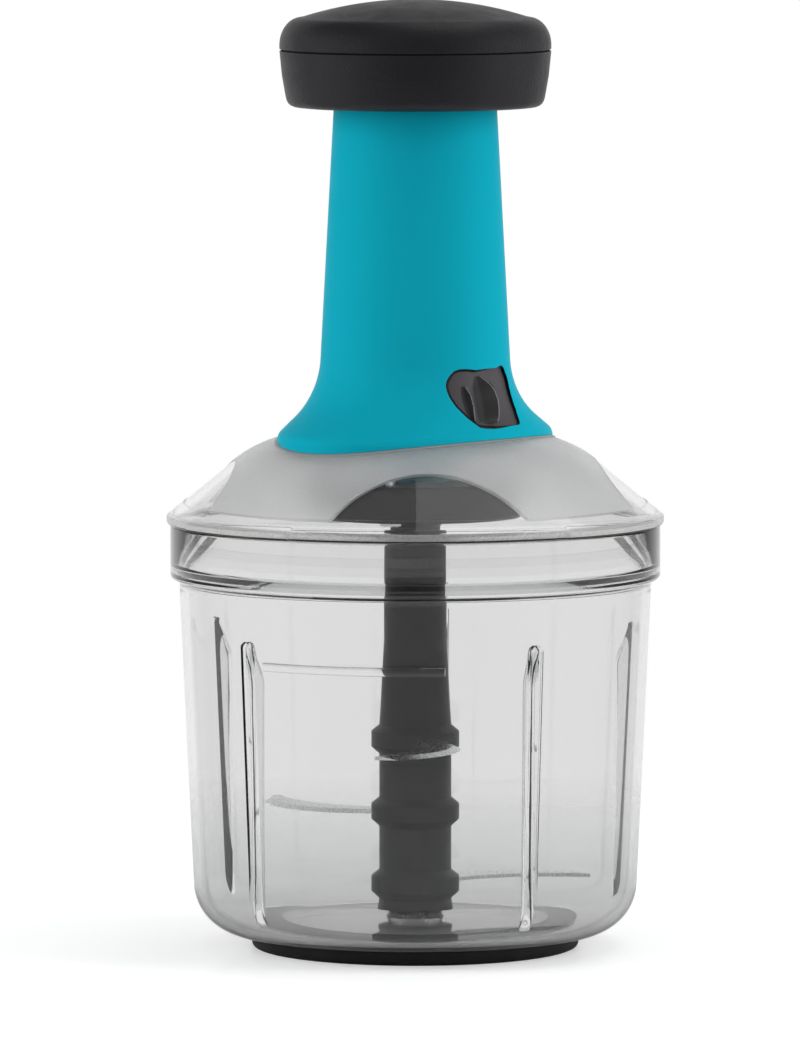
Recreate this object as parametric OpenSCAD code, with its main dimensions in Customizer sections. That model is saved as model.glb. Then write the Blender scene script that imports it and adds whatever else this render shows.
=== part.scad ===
// Push chopper: a clear bowl with a blade unit on a pin, and a domed lid that carries a column.
// Pressing the knob drives a nut down a twisted strip, which spins the blades.
// Millimetres, +Z up, origin on the table under the middle of the bowl.

/* [Bowl] */
// Height of the bowl from its underside to its rim
bowl_h = 113; // [95:1:130]
// Outer radius of the wall just above the bottom corner
bowl_foot_r = 61; // [52:0.5:61.5]
// Outer radius of the wall under the collar
bowl_neck_r = 64.9; // [62.5:0.1:65.5]
// Radius of the rounded bottom corner
bowl_corner_r = 14; // [8:0.5:18]
// Thickness of the bowl's wall
bowl_wall = 2.4; // [1.8:0.1:3]
// Thickness of the bowl's floor
bowl_floor = 2.6; // [2.2:0.1:4]
// Outer radius of the thick collar round the mouth
collar_r = 67.3; // [66.6:0.1:68]
// Height of the collar
collar_h = 15.2; // [12:0.2:20]
// Wall of the collar, outside the shelf that the lid's skirt stands over
collar_wall = 2.2; // [1.6:0.1:2.6]
// Height of the inner shelf above the collar's lower edge
shelf_rise = 4.2; // [2.5:0.1:4.4]
// Number of stirring ribs inside the wall
rib_count = 5; // [3:1:8]
// Width of one rib
rib_w = 3.6; // [2.4:0.1:5]
// How far a rib stands in from the wall
rib_reach = 3.5; // [2:0.1:4.5]
// Height of a rib's lower end above the bowl's underside
rib_low = 9; // [7:0.5:16]
// Height of a rib's upper end above the bowl's underside
rib_high = 84; // [60:1:90]
// Direction of the first rib, in degrees from +X
rib_az = 7.5; // [0:0.5:71]
// Height of the fill line above the bowl's underside
fill_h = 78.5; // [50:0.5:85]
// Degrees that the fill line goes round the wall
fill_sweep = 47; // [20:1:90]

/* [Foot ring and pin] */
// How far the rubber ring stands below the bowl
foot_h = 4; // [2.5:0.1:6]
// Outer radius of the rubber ring
foot_r = 45; // [38:0.5:46]
// Width of the rubber ring
foot_w = 8; // [5:0.5:12]
// How deep the ring sits in its groove
foot_seat = 1.4; // [0.8:0.1:1.5]
// Radius of the steel pin that the blades turn on
pin_r = 2.5; // [2:0.1:3.2]
// Length of the pin above the bowl's floor
pin_h = 17.4; // [12:0.2:22]
// Height of the boss round the pin
pin_boss_h = 2.9; // [1.5:0.1:5]
// Radius of the boss round the pin, at its top
pin_boss_r = 7; // [5:0.1:9]

/* [Blade unit] */
// Radius of the shaft at its top
shaft_r = 8.6; // [8:0.05:9.2]
// How much thicker the shaft is below its flare
shaft_flare = 1; // [0.4:0.05:1.4]
// Radius of the shaft's wider foot
shaft_foot_r = 10.5; // [9.8:0.1:12]
// Height of the shaft's flare
shaft_flare_h = 19; // [12:0.5:24]
// Gap between the boss and the shaft's foot
shaft_lift = 0.3; // [0.2:0.05:1]
// Gap between the bowl's rim and the shaft's top, downwards
shaft_drop = 5; // [3:0.1:8]
// Depth of the six-sided socket in the shaft's top
socket_d = 10.8; // [8:0.1:14]
// Reach of the blades from the shaft's axis
blade_reach = 51.5; // [40:0.5:53]
// Thickness of a blade
blade_t = 1; // [0.8:0.1:1.4]
// Height of the lowest blade above the bowl's floor
blade_z = 10.4; // [9:0.1:14]
// Height from one blade to the next
blade_step = 20; // [14:0.5:24]
// Radius of the arc of the cutting edge
edge_r = 31; // [29:0.5:34]
// Width of the ground bevel on the cutting edge
bevel_w = 2.2; // [1:0.1:3]
// Width of a blade at its middle
blade_w = 10.5; // [8:0.5:12]

/* [Lid] */
// How far the lid's rim stands out past the bowl's collar
lid_over = 0.95; // [0.5:0.05:1.6]
// Height of the lid's rim band
rim_h = 2.6; // [2:0.1:4]
// Thickness of the lid's shell
lid_wall = 2.2; // [1.8:0.1:2.8]
// Slope of the lid's cone, in degrees
cone_slope = 39.5; // [34:0.5:42]
// Radius of the rounded shoulder above the cone
shoulder_r = 35; // [25:1:38]
// Radius of the flat top inside the shoulder
lid_flat_r = 28.4; // [28:0.2:30]
// Length of the skirt that goes down into the collar
skirt_h = 9.5; // [7:0.1:10.6]
// Thickness of the skirt
skirt_t = 2.2; // [1.8:0.1:2.6]
// Gap between the skirt and the collar
skirt_gap = 0.9; // [0.7:0.05:1.4]
// Gap between the seal ring and the collar
seal_gap = 0.3; // [0.25:0.05:0.5]
// Height of the seal ring
seal_h = 2.4; // [1.6:0.1:3]
// Number of clear windows round the lid
window_count = 4; // [3:1:4]
// Radius of a window's curved edge
window_r = 32.4; // [24:0.2:34]
// How far a window's edge centre lies below its straight side, along the slope
window_drop = 13.9; // [8:0.1:16]
// Width of the band between the rim and a window's straight side, seen from above
window_low = 3.9; // [2.6:0.1:6]
// Depth of the step round a window
window_step = 0.3; // [0.2:0.05:0.5]
// Degrees that each grip tab on the rim goes round
tab_sweep = 36.5; // [20:0.5:50]
// How far a grip tab stands out of the rim
tab_out = 0.85; // [0.5:0.05:1.5]

/* [Column] */
// Radius of the column at its top
column_top_r = 22.3; // [22:0.1:24]
// Radius that the straight taper would have at the lid
column_low_r = 27.1; // [26:0.1:28]
// Height of the column's top above the lid's flat top
column_h = 90.4; // [84:0.2:100]
// Half of the long way across the oval foot
foot_long = 43.6; // [40:0.2:46]
// Half of the short way across the oval foot
foot_short = 33.2; // [33:0.2:38]
// Direction of the oval foot's long axis, in degrees from +X
oval_az = -133.5; // [-180:0.5:180]
// Height of the flare above the lid's flat top
flare_h = 20.4; // [18:0.2:24]
// Steepest lean of the flare, in degrees from upright
flare_lean = 52; // [40:1:55]
// Rounding at the outer edge of the foot
foot_round = 3.5; // [2:0.1:4]
// Height of the rounding's upper end above the lid's flat top
foot_rise = 1.4; // [0:0.1:2.5]
// Thickness of the foot's wall
column_wall = 2.6; // [2.2:0.1:3]
// Thickness of the pale gasket under the foot
gasket_t = 0.4; // [0.3:0.05:1]
// How far the gasket shows outside the foot
gasket_out = 0.8; // [0.4:0.05:1.2]
// Radius of the column's bore
bore_r = 20.1; // [19.9:0.05:20.3]

/* [Lock slider] */
// Direction of the slider, in degrees from +X
lock_az = -52; // [-180:0.5:180]
// From the slider's direction to the opening's left edge, in degrees round the column
lock_half = 24; // [20:0.5:25]
// Height of the opening's lower edge above the lid's flat top
lock_low = 3.2; // [2.8:0.1:4.5]
// Height of the opening's upper edge above the lid's flat top
lock_high = 19; // [17:0.1:20]
// Thickness of the wall that covers the slider's edges
lock_skin = 1.3; // [1:0.05:1.6]
// Thickness of the slider's plate
lock_plate = 2; // [1.4:0.1:2.4]
// How far the slider's larger fin stands out of its plate
fin_out = 2.5; // [1.8:0.1:3]
// How far the slider's smaller fin stands out of its plate
small_fin_out = 1.5; // [0.8:0.1:2]
// Turn of the slider from free to locked, in degrees
lock_turn = 10; // [8:0.5:11]

/* [Plunger and knob] */
// Stroke of the plunger
stroke = 58; // [45:1:59]
// Outer radius of the plunger tube
tube_r = 18; // [17.6:0.05:18.3]
// Wall of the plunger tube
tube_wall = 2.2; // [1.8:0.1:2.6]
// Running gap between the tube and its guide, on the radius
guide_gap = 0.06; // [0.03:0.01:0.1]
// Radius of the plunger's collar
tube_collar_r = 19.6; // [19.2:0.05:19.6]
// Height of the collar's top above the lid's flat top
tube_collar_top = 14.4; // [13.5:0.1:15]
// Thickness of the collar
tube_collar_t = 2; // [1.6:0.1:2.4]
// Outer radius of the plunger's neck, inside the spring
neck_r = 12.5; // [12:0.1:13.4]
// Radius of the knob at its seam
knob_r = 37.2; // [34:0.1:40]
// Radius of the knob at its lower edge
knob_low_r = 35; // [32:0.1:36]
// Height of the knob's lower skirt
knob_skirt_h = 15.4; // [13:0.1:18]
// Height of the knob from its lower edge to its crown
knob_h = 29.4; // [27:0.1:34]
// Height of the knob's shallow crown
crown_h = 4.9; // [3:0.1:6]
// Wall of the knob
knob_wall = 2.5; // [2:0.1:3]
// Height of the seam groove between the knob's two pieces
seam_h = 0.7; // [0.4:0.05:1.2]

/* [Drive] */
// Width of the twisted strip
strip_w = 9; // [8:0.1:9.4]
// Thickness of the twisted strip
strip_t = 2.2; // [1.6:0.1:2.6]
// Rise of the strip in one full turn
lead = 40; // [34:1:60]
// Gap between the strip and the nut's slot, on each side
nut_gap = 0.3; // [0.25:0.05:0.4]
// Radius of the round drive housing under the lid
hub_r = 30; // [29:0.1:32]
// Height of the drive housing
hub_h = 10.1; // [9.4:0.1:11]
// Wall of the drive housing
hub_wall = 2; // [1.6:0.1:2.4]
// Radius of the coupler's lower journal
journal_r = 7.5; // [7:0.05:7.8]
// Radius of the coupler's upper journal
journal_top_r = 6; // [5.6:0.05:6.3]
// Running gap of the journals, on the radius
journal_gap = 0.05; // [0.03:0.01:0.1]
// Width across the flats of the coupler's six-sided plug
plug_af = 9; // [8:0.1:9.6]
// Gap between the plug and the shaft's socket, on each side
plug_gap = 0.2; // [0.15:0.05:0.4]
// Radius of the teal sleeve under the column
sleeve_r = 11; // [10:0.1:11.6]
// Distance of the four screws from the axis
screw_ring_r = 24.5; // [24.4:0.1:24.8]
// Radius of a screw's thread
screw_r = 1.5; // [1.2:0.1:1.8]
// Number of teeth on the clutch
clutch_teeth = 8; // [6:1:12]

/* [Spring] */
// Diameter of the spring's wire
wire_d = 1.2; // [1:0.1:1.3]
// Middle radius of the spring's coils
spring_r = 16.3; // [15.4:0.1:17]
// Number of coils
coils = 6; // [4:1:6]

/* [Hidden] */
$fn = 96;
eps = 0.01;
snug = 0.1; // gap between pieces that are fitted to each other and stay still

foot_gap = 0.05; // between the rubber ring and the sides of its groove

// heights of the bowl
floor_z = foot_h + bowl_floor;
rim_z = foot_h + bowl_h;
collar_z = rim_z - collar_h;
shelf_z = collar_z + shelf_rise;
collar_in_r = collar_r - collar_wall;
corner_z = foot_h + bowl_corner_r;
corner_in_r = max(bowl_corner_r - bowl_wall, 2);
function wall_r(z) = bowl_foot_r
    + (bowl_neck_r - bowl_foot_r) * (z - corner_z) / (collar_z - corner_z);
function wall_in_r(z) = wall_r(z) - bowl_wall;

// heights of the blade unit
boss_top_z = floor_z + pin_boss_h;
shaft_z = boss_top_z + shaft_lift;
shaft_top_z = rim_z - shaft_drop;
pin_z = foot_h + 1; // the pin stands in the floor, and 1 mm of it stays closed below
pin_top_z = floor_z + pin_h;
blade_eye_r = pin_r + 1.7; // the blades stop short of the pin's bore

// heights of the lid
lid_r = collar_r + lid_over;
cone_top_r = lid_flat_r + shoulder_r * sin(cone_slope);
cone_end_r = lid_r - 0.6; // where the cone meets the rim's rounded corner
cone_end_z = rim_z + rim_h;
cone_top_z = cone_end_z + (cone_end_r - cone_top_r) * tan(cone_slope);
lid_z = cone_top_z + shoulder_r * (1 - cos(cone_slope));
lid_in_z = lid_z - lid_wall;
skirt_r = collar_in_r - skirt_gap;
skirt_z = rim_z - skirt_h;
seal_r = collar_in_r - seal_gap;
seal_in_r = skirt_r - 1.2;
seal_z = rim_z - 7;
tab_az = 51; // from the front or the back to the middle of a grip tab
tab_lip = 0.6; // how far a tab hangs below the rim, outside the collar

// drive housing and coupler
hub_z = rim_z + 1.2;
hub_top_z = hub_z + hub_h;
cover_top_z = hub_z + hub_wall;
bush_flange_t = 1.2;
disc_z = cover_top_z + bush_flange_t + snug; // the coupler's thrust disc
disc_t = 2;
disc_r = 11;
washer_t = 0.8;
washer_z = disc_z + disc_t + snug;
seat_z = washer_z + washer_t; // underside of the housing's middle boss
coupler_top_z = hub_top_z + 5.7;
funnel_low_r = 6.85;
funnel_z = hub_z - 3;
plug_top_z = shaft_top_z + 0.3;
plug_z = shaft_top_z - socket_d + 0.8;
screw_az = [for (side = [0, 180], turn = [-24, 24]) oval_az + side + turn];
screw_top_z = lid_z + 8.4;
head_r = 2.9;
head_t = 1.8;
boss_r = 3;
lid_boss_r = boss_r + 0.4;
screw_hole_r = screw_r + 0.2;

// column and plunger, all measured up from the lid's flat top
column_top_z = lid_z + column_h;
flare_z = lid_z + flare_h;
cavity_h = 15.4; // height of the hollow in the column's foot
cavity_z = lid_z + cavity_h;
flange_t = 1.6;
sleeve_top_z = lid_z + flange_t;
bumper_t = 1;
neck_z = sleeve_top_z + bumper_t + 0.3;
neck_in_r = neck_r - 3;
collar_top_z = lid_z + tube_collar_top;
collar_low_z = collar_top_z - tube_collar_t;
tube_in_r = tube_r - tube_wall;
knob_z = column_top_z - 0.9;
knob_floor_z = column_top_z + 1.8;
knob_floor_t = 2.5;
tube_top_z = knob_floor_z + knob_floor_t;
tube_flange_r = 24;
tube_flange_t = 2;
tube_screw_ring_r = tube_flange_r - 3;
tube_screw_d = 2.1; // how far a screw goes into the knob's floor
bush_z = collar_top_z + stroke + 0.5;
lip_t = 1.2; // flange of the guide bush, on the column's top
lip_r = column_top_r - 0.9;
press = 0.02; // the bush is pressed into the bore
key_w = 3;
key_in = 1.1;
key_rise = 2; // the tube's key groove starts this far above its collar
nut_r = neck_in_r - snug;
nut_z = neck_z + 1.8;
nut_t = 4.6;
tooth_h = 1.2;
clutch_z = nut_z + nut_t;
clutch_t = 2.6;
strip_top_z = neck_z + stroke + 5;
strip_z = coupler_top_z - 8;
strip_slice = 0.4; // height of one slice of the twisted faces

// lock: the slider's plate hides behind the column's skin, and its latch passes over the collar
lock_right = lock_half * 1.24; // degrees from the slider's direction to the opening's right edge
plate_over = 1; // how far the plate reaches past the opening, up and down
plate_side = 2; // the same round the column, in degrees
lock_gap = 0.3;
pocket_gap = 0.4; // round the plate and the latch, up and down
pocket_side = 1; // the same round the column, in degrees
latch_half = 7; // half the latch's width, in degrees
latch_z = collar_top_z + 0.3;
latch_t = 2.4;
latch_in_r = tube_r + 0.35;
notch_half = latch_half + 1.6;

// knob
seam_z = knob_z + knob_skirt_h;
spigot_h = 3;
crown_z = knob_z + knob_h;
crown_edge_r = knob_r - 6;
crown_edge_z = crown_z - crown_h;
crown_r = (crown_edge_r * crown_edge_r + crown_h * crown_h) / (2 * crown_h);
function crown(r) = crown_z - crown_r + sqrt(crown_r * crown_r - r * r);

function arc(cx, cy, r, from, to, n = 8) =
    [for (i = [0:n]) let (a = from + (to - from) * i / n) [cx + r * cos(a), cy + r * sin(a)]];

// outer height of the lid at radius r
function dome(r) = r <= lid_flat_r ? lid_z
    : r <= cone_top_r ? lid_z - shoulder_r + sqrt(pow(shoulder_r, 2) - pow(r - lid_flat_r, 2))
    : cone_top_z - (r - cone_top_r) * tan(cone_slope);

// straight taper of the column
function shaft_taper(z) = column_low_r
    + (column_top_r - column_low_r) * (z - lid_z) / column_h;

// share of the flare, 0 on the straight column and 1 at the oval foot: an arc, a lean, a rounding
flare_span = flare_h - foot_rise;
flare_arc_h = flare_span * 0.83;
flare_arc_r = flare_arc_h / sin(flare_lean);
flare_arc_out = flare_arc_r * (1 - cos(flare_lean));
round_h = foot_round * sin(flare_lean);
round_out = foot_round * (1 - cos(flare_lean));
lean_out = (flare_span - flare_arc_h) * tan(flare_lean);
flare_out = flare_arc_out + lean_out + round_out;
function flare_at(drop) =
    drop <= 0 ? 0
    : drop <= flare_arc_h
    ? (flare_arc_r - sqrt(pow(flare_arc_r, 2) - pow(drop, 2))) / flare_out
    : drop <= flare_span
    ? (flare_arc_out + (drop - flare_arc_h) * tan(flare_lean)) / flare_out
    : drop <= flare_span + round_h
    ? (flare_arc_out + lean_out + sqrt(pow(foot_round, 2) - pow(flare_span + round_h - drop, 2))
        - foot_round * cos(flare_lean)) / flare_out
    : 1;
function flare(z) = flare_at(flare_z - z);
function long_r(z) = shaft_taper(z) + flare(z) * (foot_long - shaft_taper(z));
function short_r(z) = shaft_taper(z) + flare(z) * (foot_short - shaft_taper(z));
function oval_pt(a, b, turn) =
    [a * cos(turn) * cos(oval_az) - b * sin(turn) * sin(oval_az),
     a * cos(turn) * sin(oval_az) + b * sin(turn) * cos(oval_az)];

sides = 60; // points in each oval ring
function ring_oval(z, inset) = [for (i = [0:sides - 1])
    concat(oval_pt(long_r(z) - inset, short_r(z) - inset, 360 * i / sides), z)];

// the foot's edge, where the flare comes down to the lid with a rest between them
rest = gasket_t + snug;
function edge_z(turn, z = lid_z, tries = 6) = tries == 0 ? z
    : edge_z(turn, dome(norm(oval_pt(long_r(z), short_r(z), turn))) + rest, tries - 1);
// a ring that lies on the lid, raised by lift, and grow outside the foot's edge
function ring_on_lid(grow, lift) = [for (i = [0:sides - 1])
    let (turn = 360 * i / sides, z = edge_z(turn),
        p = oval_pt(long_r(z) + grow, short_r(z) + grow, turn)) [p[0], p[1], dome(norm(p)) + lift]];
// a ring at a share of the way from the foot's edge up to the top of the flare
function ring_flare(share, inset) = [for (i = [0:sides - 1])
    let (turn = 360 * i / sides, low = edge_z(turn), z = low + (flare_z - low) * share)
    concat(oval_pt(long_r(z) - inset, short_r(z) - inset, turn), z)];

// a closed body from rings of points that all have the same count, lowest ring first
module loft(rings) {
    n = len(rings[0]);
    last = len(rings) - 1;
    low_mid = len(rings) * n;
    function middle(ring) = (ring[0] + ring[floor(n / 2)]) / 2;
    polyhedron(
        points = concat([for (ring = rings, p = ring) p], [middle(rings[0]), middle(rings[last])]),
        faces = [
            for (k = [0:last - 1], i = [0:n - 1])
                let (j = (i + 1) % n) each [
                    [k * n + i, (k + 1) * n + j, k * n + j],
                    [k * n + i, (k + 1) * n + i, (k + 1) * n + j]],
            for (i = [0:n - 1]) let (j = (i + 1) % n) each [
                [low_mid, i, j],
                [low_mid + 1, last * n + j, last * n + i]]]);
}

// a closed band: four rings, outer low, outer high, inner high, inner low
module band(rings) {
    n = len(rings[0]);
    polyhedron(
        points = [for (ring = rings, p = ring) p],
        faces = [for (k = [0:3], i = [0:n - 1])
            let (j = (i + 1) % n, m = (k + 1) % 4) each [
                [k * n + i, k * n + j, m * n + j],
                [k * n + i, m * n + j, m * n + i]]]);
}

module tube(r, r_in, z, h) {
    translate([0, 0, z]) difference() {
        cylinder(r = r, h = h);
        translate([0, 0, -1]) cylinder(r = r_in, h = h + 2);
    }
}

// part of a ring, centred on direction az
module ring_part(az, half, points) {
    rotate([0, 0, az - half]) rotate_extrude(angle = 2 * half) polygon(points);
}

// ---- bowl ----

module anti_slip_ring() {
    edge = 1.6;
    top = foot_h + foot_seat;
    color("#242326") rotate_extrude() polygon(concat(
        [[foot_r - foot_w, top], [foot_r - foot_w, 1]],
        [[foot_r - foot_w + 1, 0], [foot_r - edge, 0]],
        arc(foot_r - edge, edge, edge, -90, 0, 5),
        [[foot_r, top]]));
}

module bowl_shell() {
    outer = concat([[0, foot_h]],
        arc(bowl_foot_r - bowl_corner_r, corner_z, bowl_corner_r, -90, -3),
        [[wall_r(collar_z - 1.4), collar_z - 1.4]],
        arc(collar_r - 2, collar_z + 2, 2, -70, 0, 4),
        [[collar_r, rim_z - 0.8], [collar_r - 0.6, rim_z]]);
    inner = concat(
        [[collar_in_r + 0.3, rim_z], [collar_in_r, rim_z - 0.6], [collar_in_r, shelf_z]],
        [[wall_in_r(shelf_z), shelf_z]],
        arc(bowl_foot_r - bowl_wall - corner_in_r, floor_z + corner_in_r, corner_in_r, -3, -90),
        [[0, floor_z]]);
    rotate_extrude() polygon(concat(outer, inner));
}

module stirring_rib() {
    low = foot_h + rib_low;
    high = foot_h + rib_high;
    root = bowl_wall / 3; // how far the rib runs into the wall that carries it
    rotate([90, 0, 0]) translate([0, 0, -rib_w / 2]) linear_extrude(rib_w) polygon(concat(
        arc(bowl_foot_r - bowl_wall - corner_in_r, floor_z + corner_in_r, corner_in_r + root,
            -70, -3, 6),
        [[wall_in_r(high) + root, high], [wall_in_r(high) - rib_reach * 0.25, high]],
        arc(wall_in_r(high) - rib_reach * 0.25, high - rib_reach * 0.75, rib_reach * 0.75,
            90, 180, 4),
        [[wall_in_r(low) - rib_reach, low]]));
}

module fill_line() {
    z = foot_h + fill_h;
    ring_part(-90 - 20, fill_sweep / 2, [
        [wall_r(z) - 0.5, z], [wall_r(z) + 0.35, z],
        [wall_r(z) + 0.35, z + 0.7], [wall_r(z) - 0.5, z + 0.7]]);
}

module bowl() {
    color("#e6e8e8") difference() {
        union() {
            bowl_shell();
            translate([0, 0, floor_z - eps])
                cylinder(r1 = pin_boss_r + 1, r2 = pin_boss_r, h = pin_boss_h + eps);
            for (i = [0:rib_count - 1]) rotate([0, 0, rib_az + 360 * i / rib_count])
                stirring_rib();
            fill_line();
        }
        tube(foot_r + foot_gap, foot_r - foot_w - foot_gap, foot_h - 1, 1 + foot_seat);
        translate([0, 0, pin_z]) cylinder(r = pin_r, h = pin_h);
    }
}

module pivot_pin() {
    tip = 0.8;
    color("#c9ccd0") {
        translate([0, 0, pin_z]) cylinder(r = pin_r, h = pin_top_z - tip - pin_z);
        translate([0, 0, pin_top_z - tip]) cylinder(r1 = pin_r, r2 = pin_r - tip, h = tip);
    }
}

// ---- blade unit ----

// one sickle blade with a ground edge, drawn along +X
module sickle(reach) {
    mid = reach / 2;
    belly = 15; // how far the edge bows out of the line from the shaft to the tip
    back_r = edge_r + 7.5; // flatter than the edge, so that the blade narrows to its tip
    edge_y = belly - edge_r;
    back_y = edge_y + edge_r - blade_w - back_r;
    difference() {
        intersection() {
            translate([mid, edge_y, 0]) cylinder(r1 = edge_r, r2 = edge_r - bevel_w, h = blade_t);
            cylinder(r = reach, h = blade_t);
            translate([blade_eye_r, -reach, 0]) cube([reach, 2 * reach, blade_t]);
        }
        translate([mid, back_y, -1]) cylinder(r = back_r, h = blade_t + 2);
    }
}

module blade_at(index) {
    rotate([0, 0, 20 + 120 * index])
        translate([0, 0, floor_z + blade_z + index * blade_step]) sickle(blade_reach);
}

module blade_shaft() {
    foot_top = 14; // height of the shaft's spreading foot
    socket_r = (plug_af / 2 + plug_gap) / cos(30);
    ring_out = 1.6; // the ring that holds each blade
    ring_edge = 1.6;
    ring_h = 3.4;
    low_z = floor_z + blade_z + 2 * blade_step + 2 * ring_h + blade_t + 1; // foot of the flare
    function flared(t) = shaft_r + shaft_flare * (1 + cos(180 * t)) / 2;
    color("#2c292c") difference() {
        union() {
            rotate_extrude() polygon([
                [0, shaft_z], [shaft_foot_r - 1, shaft_z], [shaft_foot_r, shaft_z + 1],
                [shaft_foot_r, shaft_z + 8], [flared(0), shaft_z + foot_top],
                for (t = [0:1 / 8:1]) [flared(t), low_z + shaft_flare_h * t],
                [shaft_r, shaft_top_z - 1], [shaft_r - 0.8, shaft_top_z], [0, shaft_top_z]]);
            for (i = [0:2]) translate([0, 0, floor_z + blade_z + i * blade_step])
                rotate_extrude() polygon([
                    [0, -ring_h], [shaft_foot_r - 0.6, -ring_h],
                    [shaft_foot_r + ring_out, -ring_edge],
                    [shaft_foot_r + ring_out, blade_t + ring_edge],
                    [shaft_foot_r - 0.6, blade_t + ring_h], [0, blade_t + ring_h]]);
        }
        for (i = [0:2]) blade_at(i);
        translate([0, 0, shaft_z - 1]) cylinder(r = pin_r + journal_gap, h = pin_top_z - shaft_z + 2);
        translate([0, 0, shaft_top_z - socket_d])
            cylinder(r = socket_r, h = socket_d + 1, $fn = 6);
    }
}

module lower_blade() { color("#d4d7da") blade_at(0); }
module middle_blade() { color("#d4d7da") blade_at(1); }
module upper_blade() { color("#d4d7da") blade_at(2); }

// ---- lid ----

// the lid's outer skin, inset by t along its slope
function skin(t) = concat(
    [[cone_end_r - t * sin(cone_slope), cone_end_z - t * cos(cone_slope)]],
    arc(lid_flat_r, lid_z - shoulder_r, shoulder_r - t, 90 - cone_slope, 90));

module lid_shell() {
    rim_in_r = skirt_r - skirt_t;
    under = skin(lid_wall);
    rotate_extrude() polygon(concat(
        [[sleeve_r + snug, lid_in_z], [sleeve_r + snug, lid_z]],
        [for (i = [len(skin(0)) - 1:-1:0]) skin(0)[i]],
        [[lid_r, cone_end_z - 0.9], [lid_r, rim_z + 0.4], [lid_r - 0.4, rim_z], [skirt_r, rim_z]],
        [[skirt_r, seal_z + seal_h], [seal_in_r, seal_z + seal_h], [seal_in_r, seal_z]],
        [[skirt_r, seal_z], [skirt_r, skirt_z + 0.6], [skirt_r - 0.6, skirt_z]],
        [[rim_in_r, skirt_z], [rim_in_r, rim_z + 1.6]],
        [for (i = [1:len(under) - 1]) under[i]]));
}

// one D-shaped step in the cone: a round edge and a straight side along the rim
module window_mark(az) {
    low_r = cone_end_r - window_low;
    low_z = dome(low_r);
    step = skin(window_step);
    intersection() {
        rotate_extrude() polygon([
            [low_r, low_z + 1], [low_r, low_z - window_step / cos(cone_slope)],
            [step[1][0], step[1][1]], [step[5][0], step[5][1]],
            [step[5][0] + 1, step[5][1] + 4], [low_r + 1, low_z + 2]]);
        rotate([0, 0, az]) translate([low_r, 0, low_z]) rotate([0, cone_slope, 0])
            translate([window_drop, 0, -window_r / 8]) cylinder(r = window_r, h = window_r / 3);
    }
}

module lid() {
    color("#c2c3c4") difference() {
        union() {
            lid_shell();
            for (az = screw_az) rotate([0, 0, az]) translate([screw_ring_r, 0, hub_top_z])
                cylinder(r = lid_boss_r, h = lid_in_z + eps - hub_top_z, $fn = 48);
            for (side = [1, -1], end = [0, 180])
                ring_part(-90 + end + side * tab_az, tab_sweep / 2, [
                    [collar_r + 0.4, rim_z - tab_lip], [lid_r + tab_out - 0.5, rim_z - tab_lip],
                    [lid_r + tab_out, rim_z], [lid_r + tab_out, cone_end_z - 1],
                    [lid_r + tab_out - 0.5, cone_end_z - 0.5], [collar_r + 0.4, cone_end_z - 0.5]]);
        }
        for (i = [0:window_count - 1]) window_mark(-90 + 360 * i / window_count);
        for (az = screw_az) rotate([0, 0, az]) translate([screw_ring_r, 0, hub_top_z - 1])
            cylinder(r = screw_hole_r, h = lid_z + 2 - hub_top_z, $fn = 32);
    }
}

module lid_seal() {
    color("#dcdedf") rotate_extrude() polygon([
        [seal_in_r, seal_z], [seal_r - 0.7, seal_z], [seal_r, seal_z + 0.5],
        [seal_r - 0.5, seal_z + seal_h / 2], [seal_r, seal_z + seal_h - 0.5],
        [seal_r - 0.7, seal_z + seal_h], [seal_in_r, seal_z + seal_h]]);
}

// ---- drive housing ----

module at_screws() {
    for (az = screw_az) rotate([0, 0, az]) translate([screw_ring_r, 0, 0]) children();
}

module housing_cover() {
    edge = 1.2;
    color("#2b2a2d") difference() {
        rotate_extrude() polygon([
            [journal_r + 2, hub_z], [hub_r - edge, hub_z], [hub_r, hub_z + edge],
            [hub_r, cover_top_z], [journal_r + 2, cover_top_z]]);
        at_screws() translate([0, 0, hub_z - 1]) cylinder(r = head_r + 0.1, h = 1 + head_t / 2);
        at_screws() translate([0, 0, hub_z - 1])
            cylinder(r = screw_hole_r, h = hub_wall + 2, $fn = 32);
    }
}

module drive_housing() {
    edge = 1.5;
    color("#2b2a2d") difference() {
        union() {
            rotate_extrude() polygon(concat(
                [[journal_top_r + 0.3, seat_z], [journal_top_r + 0.3, hub_top_z]],
                [[hub_r - edge, hub_top_z]],
                arc(hub_r - edge, hub_top_z - edge, edge, 90, 0, 4),
                [[hub_r, cover_top_z], [hub_r - hub_wall, cover_top_z]],
                [[hub_r - hub_wall, hub_top_z - hub_wall], [disc_r - 0.5, hub_top_z - hub_wall]],
                [[disc_r - 0.5, seat_z]]));
            at_screws() translate([0, 0, cover_top_z])
                cylinder(r = lid_boss_r, h = hub_top_z - hub_wall - cover_top_z + eps, $fn = 48);
        }
        at_screws() translate([0, 0, cover_top_z - 1])
            cylinder(r = screw_hole_r, h = hub_h + 2, $fn = 32);
    }
}

module bearing_bush() {
    color("#ece9e2") rotate_extrude() polygon([
        [journal_r + journal_gap, hub_z], [journal_r + 2, hub_z],
        [journal_r + 2, cover_top_z], [journal_r + 5, cover_top_z],
        [journal_r + 5, cover_top_z + bush_flange_t],
        [journal_r + journal_gap, cover_top_z + bush_flange_t]]);
}

module thrust_washer() {
    color("#c9ccd0") tube(disc_r - 1, journal_top_r + journal_gap, washer_z, washer_t);
}

// corners of the flat strip at height z, which turn by one turn for each lead of height
strip_turn = -360 / lead;
function strip_ring(z, gap) = let (w = strip_w / 2 + gap, t = strip_t / 2 + gap,
    a = strip_turn * (z - coupler_top_z))
    [for (p = [[w, t], [-w, t], [-w, -t], [w, -t]])
        [p[0] * cos(a) - p[1] * sin(a), p[0] * sin(a) + p[1] * cos(a), z]];

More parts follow.
